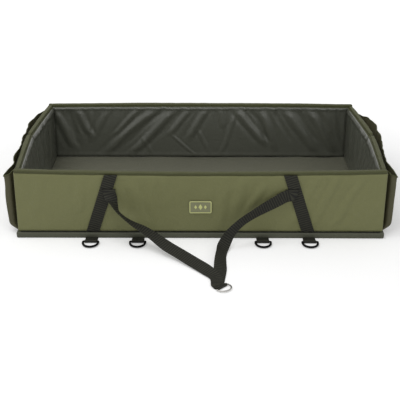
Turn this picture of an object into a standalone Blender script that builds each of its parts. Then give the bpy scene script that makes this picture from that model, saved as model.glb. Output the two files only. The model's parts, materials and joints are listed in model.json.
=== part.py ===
# Padded unhooking mat: a foam base with four padded walls, webbing straps,
# two carry handles and a row of D rings along the front and the back.
# Metres. X runs along the mat, +Y to the back, +Z up. The origin is on the
# ground under the middle of the base.

import math

import bmesh
import bpy
from mathutils import Matrix, Vector

for old in list(bpy.data.objects):
    bpy.data.objects.remove(old, do_unlink=True)

# Overall sizes
MAT_LENGTH = 1.10
MAT_DEPTH = 0.66
MAT_HEIGHT = 0.220
BASE_THICKNESS = 0.018
BASE_RIM = 0.005
WALL_THICKNESS = 0.019

# Cloth and foam
COVER_CLOTH = 0.0015
LINING_CLOTH = 0.002
GAP = 0.0003
FLOOR_CROWN = 0.006
WALL_CROWN = 0.005
LONG_BOW = 0.012
LONG_BOW_POWER = 2
END_BOW = 0.018
END_BOW_POWER = 1.25
SEAM_MARGIN = 0.008
BAND_DROP = 0.012
FOAM_FOLLOW_SHARE = 0.85
FLOOR_CELLS = (16, 10)
LONG_WALL_CELLS = (16, 6)
END_WALL_CELLS = (14, 8)

# Fold of the long walls over the base
FOLD_AXIS_LIFT = 0.016

# Webbing and straps
WEBBING_WIDTH = 0.037
WEBBING_THICKNESS = 0.0018
STRAP_FOOT_OUT = 0.325
HANDLE_PIVOT_HEIGHT = 0.163
HANDLE_HALF_SPREAD = 0.2755
LEG_TOP_SHARE = 0.976
LEG_TOP_IN = 0.002
HANDLE_REACH = 0.300
STRAP_CELL = 0.045

# D rings and their tabs
RING_WIRE = 0.0055
RING_SIDE_PLAY = 0.0015
RING_DEPTH = 0.033
RING_CORNER = 0.003
RING_CORNER_STEPS = 3
RING_ARC_STEPS = 13
RING_BOW_POWER = 0.8
RING_OUTER_OUT = 0.327
RING_INNER_OUT = 0.187
TAB_REACH = 0.031
TAB_THICKNESS = 0.0016
EYE_CLEARANCE = 0.00035
EYE_PINCH_SHARE = 3
EYE_STEPS = 12

# Ring at the middle of each handle
HANDLE_RING_WIRE = 0.004
HANDLE_RING_DEPTH = 0.024
HANDLE_RING_TURN = math.radians(46)
HANDLE_HEM = 0.014

# Pocket on the outside of each end wall
POCKET_SIDE_MARGIN = 0.012
POCKET_FOOT_HEIGHT = 0.002
POCKET_BELLY_HEIGHT = 0.029
POCKET_MOUTH_HEIGHT = 0.172
POCKET_BACK_HEIGHT = 0.186
POCKET_FOOT_DEPTH = 0.010
POCKET_BELLY_DEPTH = 0.032
POCKET_MOUTH_DEPTH = 0.036

# Badge on the front wall
BADGE_LENGTH = 0.068
BADGE_HEIGHT = 0.042
BADGE_THICKNESS = 0.0012
BADGE_CORNER = 0.006
BADGE_CENTRE_HEIGHT = 0.104
BADGE_CORNER_STEPS = 4

# Sizes that follow
WALL_FOOT = BASE_THICKNESS + GAP
RING_INSIDE_WIDTH = WEBBING_WIDTH + 2 * RING_SIDE_PLAY
WALL_HEIGHT = MAT_HEIGHT - WALL_FOOT
PANEL_TOP = WALL_HEIGHT - BAND_DROP - GAP
TUCK = COVER_CLOTH + GAP
END_WALL_LENGTH = MAT_DEPTH - 2 * (WALL_THICKNESS + GAP)
STRAP_OUT = GAP + WEBBING_THICKNESS / 2
STUB_OUT = STRAP_OUT + WEBBING_THICKNESS + GAP
STRAP_LEAN = STRAP_FOOT_OUT - HANDLE_HALF_SPREAD - LEG_TOP_IN
STRAP_TOP_OUT = STRAP_FOOT_OUT - STRAP_LEAN * PANEL_TOP / (HANDLE_PIVOT_HEIGHT - WALL_FOOT)

OLIVE = (0.147, 0.152, 0.066)
OLIVE_BAND = (0.092, 0.098, 0.050)
GREY_GREEN = (0.052, 0.053, 0.045)
BLACK_WEB = (0.022, 0.022, 0.021)
FOAM_GREY = (0.30, 0.30, 0.29)
GLOSS_BLACK = (0.012, 0.012, 0.012)
BRIGHT_STEEL = (0.75, 0.75, 0.74)
PALE_OLIVE = (0.30, 0.33, 0.14)

# How closely a face must look along a way to count as facing it
ALONG_SHARE = 0.9

parts = bpy.data.collections.new("unhooking_mat")
bpy.context.scene.collection.children.link(parts)


def make_material(name, colour, roughness, metallic):
    material = bpy.data.materials.new(name)
    material.use_nodes = True
    shader = material.node_tree.nodes["Principled BSDF"]
    shader.inputs["Base Color"].default_value = (*colour, 1)
    shader.inputs["Roughness"].default_value = roughness
    shader.inputs["Metallic"].default_value = metallic
    return material


COVER = make_material("cover_cloth", OLIVE, 0.6, 0)
BAND = make_material("band_cloth", OLIVE_BAND, 0.65, 0)
LINING = make_material("lining_cloth", GREY_GREEN, 0.45, 0)
FOAM = make_material("foam", FOAM_GREY, 0.95, 0)
WEB = make_material("webbing", BLACK_WEB, 0.7, 0)
RING_BLACK = make_material("ring_black", GLOSS_BLACK, 0.35, 0)
RING_STEEL = make_material("ring_steel", BRIGHT_STEEL, 0.2, 1)
BADGE = make_material("badge", PALE_OLIVE, 0.5, 0)


def add_pivot(name, place, turn=0, parent=None):
    """An empty that carries pieces: on a joint's axis, or at a wall's foot."""
    pivot = bpy.data.objects.new(name, None)
    pivot.location = place
    pivot.rotation_euler = (0, 0, turn)
    pivot.parent = parent
    parts.objects.link(pivot)
    return pivot


def add_part(name, data, material, pivot, place=(0, 0, 0), tilt=None):
    """A named piece; tilt turns a flat outline upright, facing outward and leaning out."""
    part = bpy.data.objects.new(name, data)
    part.location = place
    if tilt is not None:
        part.rotation_euler = (math.pi / 2 + tilt, 0, 0)
    part.parent = pivot
    data.materials.append(material)
    parts.objects.link(part)
    return part


def finish_mesh(bm, name):
    bmesh.ops.recalc_face_normals(bm, faces=bm.faces)
    mesh = bpy.data.meshes.new(name)
    bm.to_mesh(mesh)
    bm.free()
    return mesh


def add_cloth_walls(part, thickness, centred=False):
    solidify = part.modifiers.new("cloth", "SOLIDIFY")
    solidify.thickness = thickness
    solidify.offset = 0 if centred else -1
    solidify.use_even_offset = True
    return part


def stations(half, inner_half, cells):
    """Evenly spaced lines between the inner edges, with one more at each outer edge."""
    inner = [inner_half * (2 * i / (cells - 2) - 1) for i in range(cells - 1)]
    return [-half] + inner + [half]


def arch(place, half):
    """A pad's rise across its width: none at the seams, and full along the middle."""
    if abs(place) >= half:
        return 0
    return math.sqrt(1 - (place / half) ** 2)


def slab(across, along, upper, lower):
    """A closed pad on the lines given; upper and lower give its two faces."""
    bm = bmesh.new()
    bmesh.ops.create_grid(
        bm, x_segments=len(across) - 1, y_segments=len(along) - 1, size=1
    )
    spots = {}
    for vert in bm.verts:
        i = round((vert.co.x + 1) / 2 * (len(across) - 1))
        j = round((vert.co.y + 1) / 2 * (len(along) - 1))
        spots[vert] = (across[i], along[j])
    made = bmesh.ops.extrude_face_region(bm, geom=list(bm.faces))
    for vert in made["geom"]:
        if isinstance(vert, bmesh.types.BMVert):
            i = round((vert.co.x + 1) / 2 * (len(across) - 1))
            j = round((vert.co.y + 1) / 2 * (len(along) - 1))
            x, y = across[i], along[j]
            vert.co = (x, y, upper(x, y))
    for vert, (x, y) in spots.items():
        vert.co = (x, y, lower(x, y))
    return bm


def lean(x, z, half, bow, power):
    """How far out a wall stands at a place: none at its foot and its ends."""
    return bow * z / WALL_HEIGHT * (1 - (abs(x) / half) ** power)


def bender(half, bow, power):
    def bend(bm):
        for vert in bm.verts:
            vert.co.y -= lean(vert.co.x, vert.co.z, half, bow, power)
        return bm

    return bend


def open_box(low, high, lines, levels, gone):
    """A box without the faces that point along gone, cut across at the lines in X
    and at the levels in Z."""
    bm = bmesh.new()
    low, high = Vector(low), Vector(high)
    size = high - low
    place = Matrix.Translation((low + high) / 2) @ Matrix.Diagonal((*size, 1))
    bmesh.ops.create_cube(bm, size=1, matrix=place)
    bm.normal_update()
    lost = [
        face
        for face in bm.faces
        if any(face.normal.dot(Vector(way)) > ALONG_SHARE for way in gone)
    ]
    bmesh.ops.delete(bm, geom=lost, context="FACES")
    cuts = [((x, 0, 0), (1, 0, 0)) for x in lines]
    cuts += [((0, 0, z), (0, 0, 1)) for z in levels]
    for place, way in cuts:
        geometry = list(bm.verts) + list(bm.edges) + list(bm.faces)
        bmesh.ops.bisect_plane(bm, geom=geometry, plane_co=place, plane_no=way)
    return bm


def rounded_outline(length, height, corner):
    """A flat outline with round corners, as a closed curve."""
    points = []
    for quarter in range(4):
        turn = quarter * math.pi / 2
        middle = turn + math.pi / 4
        side_x = math.copysign(length / 2 - corner, math.cos(middle))
        side_y = math.copysign(height / 2 - corner, math.sin(middle))
        for step in range(BADGE_CORNER_STEPS + 1):
            angle = turn + step * math.pi / 2 / BADGE_CORNER_STEPS
            points.append(
                (side_x + corner * math.cos(angle), side_y + corner * math.sin(angle))
            )
    return points


def flat_plate(name, points, thickness):
    curve = bpy.data.curves.new(name, "CURVE")
    curve.dimensions = "2D"
    curve.fill_mode = "BOTH"
    curve.extrude = thickness / 2
    spline = curve.splines.new("POLY")
    spline.points.add(len(points) - 1)
    for point, (x, y) in zip(spline.points, points):
        point.co = (x, y, 0, 1)
    spline.use_cyclic_u = True
    return curve


def smooth_route(rows, steps):
    """Points on a smooth curve through the rows, each a vector of any length."""
    rows = [Vector(row) for row in rows]
    route = []
    for i in range(len(rows) - 1):
        before = rows[max(i - 1, 0)]
        here, there = rows[i], rows[i + 1]
        after = rows[min(i + 2, len(rows) - 1)]
        for step in range(steps):
            t = step / steps
            route.append(
                (
                    2 * here
                    + (there - before) * t
                    + (2 * before - 5 * here + 4 * there - after) * t**2
                    + (3 * here - before - 3 * there + after) * t**3
                )
                / 2
            )
    return route + [rows[-1]]


def webbing(name, centres, sideways, width, thickness, pivot):
    """A flat strap along the centres; sideways gives the way its width points."""
    bm = bmesh.new()
    pairs = []
    for i, centre in enumerate(centres):
        ahead = centres[min(i + 1, len(centres) - 1)] - centres[max(i - 1, 0)]
        ahead.normalize()
        side = sideways[i] - ahead * sideways[i].dot(ahead)
        side.normalize()
        side *= width / 2
        pairs.append((bm.verts.new(centre - side), bm.verts.new(centre + side)))
    for near, far in zip(pairs, pairs[1:]):
        bm.faces.new((near[0], near[1], far[1], far[0]))
    part = add_part(name, finish_mesh(bm, name), WEB, pivot)
    return add_cloth_walls(part, thickness, centred=True)


def eye_route(wire, thickness, back_reach):
    """Side view of a strap that goes over a bar at the origin, round it and back
    under itself. Returns (forward, up) pairs, forward being away from the hem."""
    radius = wire / 2 + EYE_CLEARANCE + thickness / 2
    under = -radius
    over = under + thickness + GAP
    pinch = -EYE_PINCH_SHARE * radius
    bearing = math.atan2(over, pinch)
    opening = math.acos(radius / math.hypot(over, pinch))
    start = bearing % (2 * math.pi) - opening
    route = [(-back_reach, over), (pinch, over)]
    for step in range(EYE_STEPS + 1):
        angle = start + (-math.pi / 2 - start) * step / EYE_STEPS
        route.append((radius * math.cos(angle), radius * math.sin(angle)))
    route.append((-back_reach, under))
    return route


def eye_height(wire, thickness):
    """How high a bar lies when the strap round it just clears the ground."""
    return wire / 2 + EYE_CLEARANCE + thickness + GAP


def d_ring(name, inside_width, depth, wire, corner, material, pivot):
    """A wire ring with a straight bar along X at the origin and its bow towards -Y."""
    half = (inside_width + wire) / 2
    bow = depth + wire / 2 - corner
    right = []
    for step in range(RING_CORNER_STEPS + 1):
        angle = math.pi / 2 * step / RING_CORNER_STEPS
        right.append(
            (half - corner + corner * math.sin(angle), corner * math.cos(angle) - corner)
        )
    arc = []
    for step in range(1, RING_ARC_STEPS):
        angle = math.pi * step / RING_ARC_STEPS
        swell = math.sin(angle) ** RING_BOW_POWER
        arc.append((half * math.cos(angle), -corner - bow * swell))
    left = [(-x, y) for x, y in reversed(right)]
    points = right + arc + left
    curve = bpy.data.curves.new(name, "CURVE")
    curve.dimensions = "3D"
    curve.bevel_depth = wire / 2
    curve.bevel_resolution = 2
    spline = curve.splines.new("POLY")
    spline.points.add(len(points) - 1)
    for point, (x, y) in zip(spline.points, points):
        point.co = (x, y, 0, 1)
    spline.use_cyclic_u = True
    return add_part(name, curve, material, pivot)


# Base
def build_base():
    half_x, half_y = MAT_LENGTH / 2 + BASE_RIM, MAT_DEPTH / 2 + BASE_RIM
    pad_x = MAT_LENGTH / 2 - WALL_THICKNESS
    pad_y = MAT_DEPTH / 2 - WALL_THICKNESS
    seat = add_pivot("base_seat", (0, 0, 0))
    tray_top = BASE_THICKNESS - LINING_CLOTH - GAP

    tray = open_box(
        (-half_x, -half_y, 0), (half_x, half_y, tray_top), [], [], [(0, 0, 1)]
    )
    cover = add_part("base_cover", finish_mesh(tray, "base_cover"), COVER, seat)
    add_cloth_walls(cover, COVER_CLOTH)

    def rise(x, y):
        return FLOOR_CROWN * arch(x, pad_x) * arch(y, pad_y)

    across = stations(half_x, pad_x, FLOOR_CELLS[0])
    along = stations(half_y, pad_y, FLOOR_CELLS[1])
    sheet = slab(
        across,
        along,
        lambda x, y: BASE_THICKNESS + rise(x, y),
        lambda x, y: BASE_THICKNESS - LINING_CLOTH + rise(x, y),
    )
    add_part("floor_lining", finish_mesh(sheet, "floor_lining"), LINING, seat)

    across = stations(half_x - TUCK, pad_x, FLOOR_CELLS[0])
    along = stations(half_y - TUCK, pad_y, FLOOR_CELLS[1])
    core = slab(
        across,
        along,
        lambda x, y: tray_top + FOAM_FOLLOW_SHARE * rise(x, y),
        lambda x, y: TUCK,
    )
    add_part("base_foam", finish_mesh(core, "base_foam"), FOAM, seat)


# Walls. A wall's own frame has X along it, +Y inward and Z up from its foot.
def build_wall(side, pivot, offset, length, margin, bend, cells):
    half = length / 2
    inner_half = half - margin
    lines = stations(half, inner_half, cells[0])

    def stand_up(bm):
        """The pad is made lying down; its rise turns inward as it is stood up."""
        for vert in bm.verts:
            x, height, inward = vert.co
            vert.co = (x, inward, height)
        return bend(bm)

    panel = WALL_THICKNESS - LINING_CLOTH - GAP
    rows = cells[1]
    heights = [PANEL_TOP * i / rows for i in range(rows + 1)]
    levels = heights[1:-1]
    case = open_box(
        (-half, 0, 0),
        (half, panel, PANEL_TOP),
        lines[1:-1],
        levels,
        [(0, 1, 0), (0, 0, 1)],
    )
    name = side + "_cover"
    cover = add_part(name, finish_mesh(bend(case), name), COVER, pivot, offset)
    add_cloth_walls(cover, COVER_CLOTH)

    def rise(x, z):
        return WALL_CROWN * arch(x, inner_half) * arch(z - PANEL_TOP / 2, PANEL_TOP / 2)

    sheet = slab(
        lines,
        heights,
        lambda x, z: WALL_THICKNESS + rise(x, z),
        lambda x, z: WALL_THICKNESS - LINING_CLOTH + rise(x, z),
    )
    name = side + "_lining"
    add_part(name, finish_mesh(stand_up(sheet), name), LINING, pivot, offset)

    foam_lines = stations(half - TUCK, inner_half, cells[0])
    foam_heights = [TUCK] + heights[1:] + [WALL_HEIGHT - TUCK]
    core = slab(
        foam_lines,
        foam_heights,
        lambda x, z: panel + FOAM_FOLLOW_SHARE * rise(x, z) * (z > TUCK),
        lambda x, z: TUCK,
    )
    name = side + "_foam"
    add_part(name, finish_mesh(stand_up(core), name), FOAM, pivot, offset)

    cap = open_box(
        (-half, 0, WALL_HEIGHT - BAND_DROP),
        (half, WALL_THICKNESS, WALL_HEIGHT),
        lines[1:-1],
        [],
        [(0, 0, -1)],
    )
    name = side + "_band"
    band = add_part(name, finish_mesh(bend(cap), name), BAND, pivot, offset)
    add_cloth_walls(band, COVER_CLOTH)
    return lines, levels


def pocket_depth(height):
    """How far the pocket stands out: little at its foot, most at its mouth."""
    if height < POCKET_BELLY_HEIGHT:
        low, high = POCKET_FOOT_HEIGHT, POCKET_BELLY_HEIGHT
        first, second = POCKET_FOOT_DEPTH, POCKET_BELLY_DEPTH
    else:
        low, high = POCKET_BELLY_HEIGHT, POCKET_MOUTH_HEIGHT
        first, second = POCKET_BELLY_DEPTH, POCKET_MOUTH_DEPTH
    return first + (second - first) * (height - low) / (high - low)


def build_pocket(side, pivot, lines, levels, bend):
    """A pocket that stands away from the end wall at its mouth."""
    half = END_WALL_LENGTH / 2 - POCKET_SIDE_MARGIN
    cuts = [x for x in lines if abs(x) < half]
    bm = open_box(
        (-half, -POCKET_MOUTH_DEPTH, POCKET_FOOT_HEIGHT),
        (half, -GAP, POCKET_BACK_HEIGHT),
        cuts,
        [POCKET_BELLY_HEIGHT] + levels,
        [(0, 1, 0), (0, 0, 1)],
    )
    for vert in bm.verts:
        if vert.co.y < -POCKET_FOOT_DEPTH:
            vert.co.z = min(vert.co.z, POCKET_MOUTH_HEIGHT)
            vert.co.y = -pocket_depth(vert.co.z)
    name = side + "_pocket"
    pocket = add_part(name, finish_mesh(bend(bm), name), COVER, pivot)
    add_cloth_walls(pocket, COVER_CLOTH)


def strap_x(height):
    """How far out the slanted strap's middle is, at a height above the ground."""
    top = WALL_FOOT + PANEL_TOP
    share = (height - WALL_FOOT) / (top - WALL_FOOT)
    return STRAP_FOOT_OUT + (STRAP_TOP_OUT - STRAP_FOOT_OUT) * share


def slanted_strap(name, side, low, high, out, bend, pivot, offset):
    """A stretch of the slanted strap between two heights above the ground."""
    slant = math.atan2(STRAP_FOOT_OUT - STRAP_TOP_OUT, PANEL_TOP)
    half = WEBBING_WIDTH / 2 / math.cos(slant)
    rows = max(1, round((high - low) / STRAP_CELL))
    bm = bmesh.new()
    bmesh.ops.create_grid(bm, x_segments=2, y_segments=rows, size=1)
    for vert in bm.verts:
        height = low + (high - low) * (vert.co.y + 1) / 2
        x = side * strap_x(height) + half * vert.co.x
        vert.co = (x, -out, height - WALL_FOOT)
    part = add_part(name, finish_mesh(bend(bm), name), WEB, pivot, offset)
    add_cloth_walls(part, WEBBING_THICKNESS, centred=True)


# Handle legs as seen from outside the wall. Each row gives the place as shares
# of the half spread, the reach and the pivot's height over the layer that the
# leg lies in, and then the way that its width points.
LEFT_LEG_SHARES = [
    (-0.976, 0.000, 1.000, 1.00, 0.00, 0.00),
    (-0.976, 0.001, 0.980, 1.00, 0.00, 0.00),
    (-0.976, 0.004, 0.940, 1.00, 0.00, 0.00),
    (-0.962, 0.014, 0.860, 1.00, 0.10, 0.00),
    (-0.930, 0.051, 0.764, 0.66, 0.60, -0.46),
    (-0.893, 0.099, 0.656, 0.27, 0.85, -0.46),
    (-0.823, 0.126, 0.545, 0.20, 0.90, -0.38),
    (-0.725, 0.153, 0.438, 0.29, 0.93, -0.20),
    (-0.601, 0.186, 0.341, 0.47, 0.88, 0.00),
    (-0.479, 0.249, 0.243, 0.62, 0.77, 0.12),
    (-0.355, 0.340, 0.156, 0.73, 0.62, 0.28),
    (-0.215, 0.445, 0.098, 0.78, 0.55, 0.29),
    (-0.077, 0.569, 0.059, 0.80, 0.51, 0.33),
    (0.053, 0.699, 0.037, 0.80, 0.51, 0.31),
    (0.155, 0.822, 0.008, 0.79, 0.62, 0.03),
    (0.169, 0.958, 0.000, 0.69, 0.72, 0.00),
]
RIGHT_LEG_SHARES = [
    (0.976, 0.000, 1.000, 1.00, 0.00, 0.00),
    (0.976, 0.001, 0.980, 1.00, 0.00, 0.00),
    (0.976, 0.004, 0.950, 1.00, 0.00, 0.00),
    (0.962, 0.012, 0.900, 0.96, 0.00, -0.29),
    (0.897, 0.016, 0.863, 0.70, 0.09, -0.70),
    (0.827, 0.030, 0.801, 0.48, 0.10, -0.87),
    (0.737, 0.050, 0.726, 0.44, 0.22, -0.87),
    (0.587, 0.088, 0.601, 0.44, 0.45, -0.78),
    (0.436, 0.125, 0.446, 0.54, 0.54, -0.65),
    (0.324, 0.166, 0.270, 0.78, 0.45, -0.44),
    (0.262, 0.219, 0.120, 0.90, 0.21, -0.35),
    (0.232, 0.292, 0.072, 0.84, 0.08, -0.53),
    (0.218, 0.399, 0.079, 0.77, 0.00, -0.64),
    (0.206, 0.530, 0.048, 0.92, 0.00, -0.40),
    (0.199, 0.682, 0.005, 1.00, 0.10, 0.00),
    (0.172, 0.885, 0.000, 0.99, 0.10, 0.00),
]
LEG_STEPS = 3


def leg_route(shares, layer):
    """Centres and width directions of a leg, in the handle pivot's frame."""
    drop = HANDLE_PIVOT_HEIGHT - layer
    rows = [
        (
            x * HANDLE_HALF_SPREAD,
            -y * HANDLE_REACH,
            (z - 1) * drop,
            side_x,
            side_y,
            side_z,
        )
        for x, y, z, side_x, side_y, side_z in shares
    ]
    route = smooth_route(rows, LEG_STEPS)
    return [Vector(row[:3]) for row in route], [Vector(row[3:]) for row in route]


def build_handle(end, wall_pivot, wall_place):
    """A handle of two legs that meet at a ring, hung from the straps' stubs."""
    lift = HANDLE_PIVOT_HEIGHT - WALL_FOOT
    inner = LEG_TOP_SHARE * HANDLE_HALF_SPREAD - WEBBING_WIDTH / 2
    out = STUB_OUT + lean(inner, lift, MAT_LENGTH / 2, LONG_BOW, LONG_BOW_POWER)
    place = Vector(wall_place) + Vector((0, -out, lift))
    pivot = add_pivot(end + "_handle_pivot", place, parent=wall_pivot)

    lower = WEBBING_THICKNESS / 2 + 2 * GAP
    upper = lower + WEBBING_THICKNESS + GAP
    centres, sideways = leg_route(RIGHT_LEG_SHARES, lower)
    webbing(
        end + "_handle_right",
        centres,
        sideways,
        WEBBING_WIDTH,
        WEBBING_THICKNESS,
        pivot,
    )

    centres, sideways = leg_route(LEFT_LEG_SHARES, upper)
    ahead = Vector((math.sin(HANDLE_RING_TURN), -math.cos(HANDLE_RING_TURN), 0))
    bar = centres[-1] + ahead * (HANDLE_HEM + WEBBING_THICKNESS)
    bar_height = eye_height(HANDLE_RING_WIRE, WEBBING_THICKNESS)
    bar.z = bar_height - HANDLE_PIVOT_HEIGHT
    across = Vector((math.cos(HANDLE_RING_TURN), math.sin(HANDLE_RING_TURN), 0))
    eye = eye_route(HANDLE_RING_WIRE, WEBBING_THICKNESS, HANDLE_HEM)
    for forward, up in eye:
        centres.append(bar + ahead * forward + Vector((0, 0, up)))
        sideways.append(across)
    webbing(
        end + "_handle_left",
        centres,
        sideways,
        WEBBING_WIDTH,
        WEBBING_THICKNESS,
        pivot,
    )

    ring_pivot = add_pivot(
        end + "_handle_ring_pivot", bar, turn=HANDLE_RING_TURN, parent=pivot
    )
    d_ring(
        end + "_handle_ring",
        RING_INSIDE_WIDTH,
        HANDLE_RING_DEPTH,
        HANDLE_RING_WIRE,
        RING_CORNER,
        RING_STEEL,
        ring_pivot,
    )


def build_tab_and_ring(name, x, seat):
    """A webbing tab sewn to the base's lower edge, with a D ring in its eye."""
    height = eye_height(RING_WIRE, TAB_THICKNESS)
    pivot = add_pivot(name + "_ring_pivot", (x, -TAB_REACH, height), parent=seat)
    route = eye_route(RING_WIRE, TAB_THICKNESS, TAB_REACH - GAP)
    centres = [Vector((0, -forward, up)) for forward, up in route]
    sideways = [Vector((1, 0, 0)) for _ in centres]
    webbing(
        name + "_tab", centres, sideways, WEBBING_WIDTH, TAB_THICKNESS, pivot
    )
    d_ring(
        name + "_ring",
        RING_INSIDE_WIDTH,
        RING_DEPTH,
        RING_WIRE,
        RING_CORNER,
        RING_BLACK,
        pivot,
    )


def build_long_side(end, turn):
    """The front or the back: its wall, straps, handle, tabs and rings."""
    reach = MAT_DEPTH / 2 - WALL_THICKNESS
    way = Matrix.Rotation(turn, 4, "Z")
    hinge = add_pivot(
        end + "_wall_hinge", way @ Vector((0, -reach, WALL_FOOT + FOLD_AXIS_LIFT)), turn
    )
    offset = (0, -WALL_THICKNESS, -FOLD_AXIS_LIFT)
    bend = bender(MAT_LENGTH / 2, LONG_BOW, LONG_BOW_POWER)
    build_wall(
        end,
        hinge,
        offset,
        MAT_LENGTH,
        WALL_THICKNESS + SEAM_MARGIN,
        bend,
        LONG_WALL_CELLS,
    )
    for word, side in (("left", -1), ("right", 1)):
        slanted_strap(
            end + "_strap_" + word,
            side,
            WALL_FOOT + GAP,
            WALL_FOOT + PANEL_TOP,
            STRAP_OUT,
            bend,
            hinge,
            offset,
        )
        slanted_strap(
            end + "_stub_" + word,
            side,
            HANDLE_PIVOT_HEIGHT + WEBBING_THICKNESS / 2 + GAP,
            WALL_FOOT + PANEL_TOP,
            STUB_OUT,
            bend,
            hinge,
            offset,
        )
    build_handle(end, hinge, offset)
    edge = MAT_DEPTH / 2 + BASE_RIM
    seat = add_pivot(end + "_edge", way @ Vector((0, -edge, 0)), turn)
    outs = (-RING_OUTER_OUT, -RING_INNER_OUT, RING_INNER_OUT, RING_OUTER_OUT)
    for number, x in enumerate(outs, 1):
        build_tab_and_ring(f"{end}_{number}", x, seat)
    return hinge, offset


def build_badge(hinge, offset):
    outline = rounded_outline(BADGE_LENGTH, BADGE_HEIGHT, BADGE_CORNER)
    curve = flat_plate("badge", outline, BADGE_THICKNESS)
    lift = BADGE_CENTRE_HEIGHT - WALL_FOOT
    out = GAP + BADGE_THICKNESS / 2 + lean(0, lift, MAT_LENGTH / 2, LONG_BOW, LONG_BOW_POWER)
    place = Vector(offset) + Vector((0, -out, lift))
    add_part("badge", curve, BADGE, hinge, place, tilt=math.atan2(LONG_BOW, WALL_HEIGHT))


def build_end(side, turn):
    way = Matrix.Rotation(turn, 4, "Z")
    seat = add_pivot(
        side + "_wall_seat", way @ Vector((0, -MAT_LENGTH / 2, WALL_FOOT)), turn
    )
    bend = bender(END_WALL_LENGTH / 2, END_BOW, END_BOW_POWER)
    lines, levels = build_wall(
        side,
        seat,
        (0, 0, 0),
        END_WALL_LENGTH,
        SEAM_MARGIN,
        bend,
        END_WALL_CELLS,
    )
    build_pocket(side, seat, lines, levels, bend)


build_base()
front_hinge, front_offset = build_long_side("front", 0)
build_badge(front_hinge, front_offset)
build_long_side("back", math.pi)
build_end("left", -math.pi / 2)
build_end("right", math.pi / 2)
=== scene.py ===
# Looks of the padded unhooking mat: cloth, foam, webbing, rings, stitching and the stage.
# Metres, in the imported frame: X along the mat, +Y to the back, +Z up.

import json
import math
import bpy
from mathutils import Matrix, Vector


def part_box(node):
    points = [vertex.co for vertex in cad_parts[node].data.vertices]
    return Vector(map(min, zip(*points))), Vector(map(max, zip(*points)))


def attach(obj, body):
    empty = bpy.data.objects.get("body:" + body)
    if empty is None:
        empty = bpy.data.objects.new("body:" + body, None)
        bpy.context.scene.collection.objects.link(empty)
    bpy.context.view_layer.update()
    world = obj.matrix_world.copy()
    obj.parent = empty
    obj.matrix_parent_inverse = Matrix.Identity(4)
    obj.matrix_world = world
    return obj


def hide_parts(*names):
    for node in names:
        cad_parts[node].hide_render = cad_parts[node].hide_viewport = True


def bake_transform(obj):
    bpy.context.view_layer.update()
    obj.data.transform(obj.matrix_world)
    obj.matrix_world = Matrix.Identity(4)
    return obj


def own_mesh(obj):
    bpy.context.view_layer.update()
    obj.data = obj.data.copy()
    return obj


bl_info = {
    "name": "Unhooking mat looks",
    "version": (1, 0, 0),
    "blender": (4, 5, 0),
    "location": "View3D > Sidebar > Unhooking Mat",
    "description": "Dresses the unhooking mat's frame in padded cloth, webbing, rings and stitching",
    "category": "Object",
}

import bmesh
import bpy
from bpy.props import FloatProperty, FloatVectorProperty, IntProperty, PointerProperty
from mathutils import Matrix, Vector, noise

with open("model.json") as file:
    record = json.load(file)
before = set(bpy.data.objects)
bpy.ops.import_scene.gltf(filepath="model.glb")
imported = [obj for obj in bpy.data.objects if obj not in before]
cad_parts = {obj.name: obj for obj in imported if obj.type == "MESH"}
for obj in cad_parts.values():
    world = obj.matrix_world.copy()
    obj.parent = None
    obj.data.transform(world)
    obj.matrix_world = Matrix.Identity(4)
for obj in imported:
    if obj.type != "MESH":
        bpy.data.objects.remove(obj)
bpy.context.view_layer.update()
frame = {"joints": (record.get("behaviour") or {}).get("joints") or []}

# Sizes read from the frame
BASE_LOW, BASE_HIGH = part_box("base_cover")
PANEL_LOW, PANEL_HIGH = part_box("front_cover")
BAND_LOW, BAND_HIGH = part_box("front_band")
END_BAND_LOW, END_BAND_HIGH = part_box("left_band")
POCKET_LOW, POCKET_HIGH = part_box("left_pocket")
STRAP_LOW, STRAP_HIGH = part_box("front_strap_right")
STUB_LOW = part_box("front_stub_right")[0]
BADGE_LOW, BADGE_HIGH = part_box("badge")
JOINTS = {joint["name"]: joint["pos_m"] for joint in frame["joints"]}

# Sizes that follow from them
WALL_THICKNESS = 0.019
END_CLOTH_PROUD = 0.003
MAT_LENGTH = BAND_HIGH.x - BAND_LOW.x
MAT_DEPTH = 2 * (abs(JOINTS["front_wall_fold"][1]) + WALL_THICKNESS)
WALL_FOOT = PANEL_LOW.z
WALL_HEIGHT = BAND_HIGH.z - WALL_FOOT
SEAM_HEIGHT = (PANEL_HIGH.z + BAND_LOW.z) / 2 - WALL_FOOT
END_LENGTH = END_BAND_HIGH.y - END_BAND_LOW.y
LONG_BOW = -MAT_DEPTH / 2 - BAND_LOW.y
END_BOW = -MAT_LENGTH / 2 - END_BAND_LOW.x + END_CLOTH_PROUD

TURNS = {"front": 0, "back": math.pi, "left": -math.pi / 2, "right": math.pi / 2}
LONG_SIDES = ("front", "back")
END_SIDES = ("left", "right")


def metres(name, description, default, low, high):
    return FloatProperty(
        name=name, description=description, default=default, min=low, max=high, subtype="DISTANCE"
    )


def tint(name, description, default):
    return FloatVectorProperty(
        name=name, description=description, default=default, size=3, min=0, max=1, subtype="COLOR"
    )


def strength(name, description, default):
    return FloatProperty(name=name, description=description, default=default, min=0)


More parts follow.
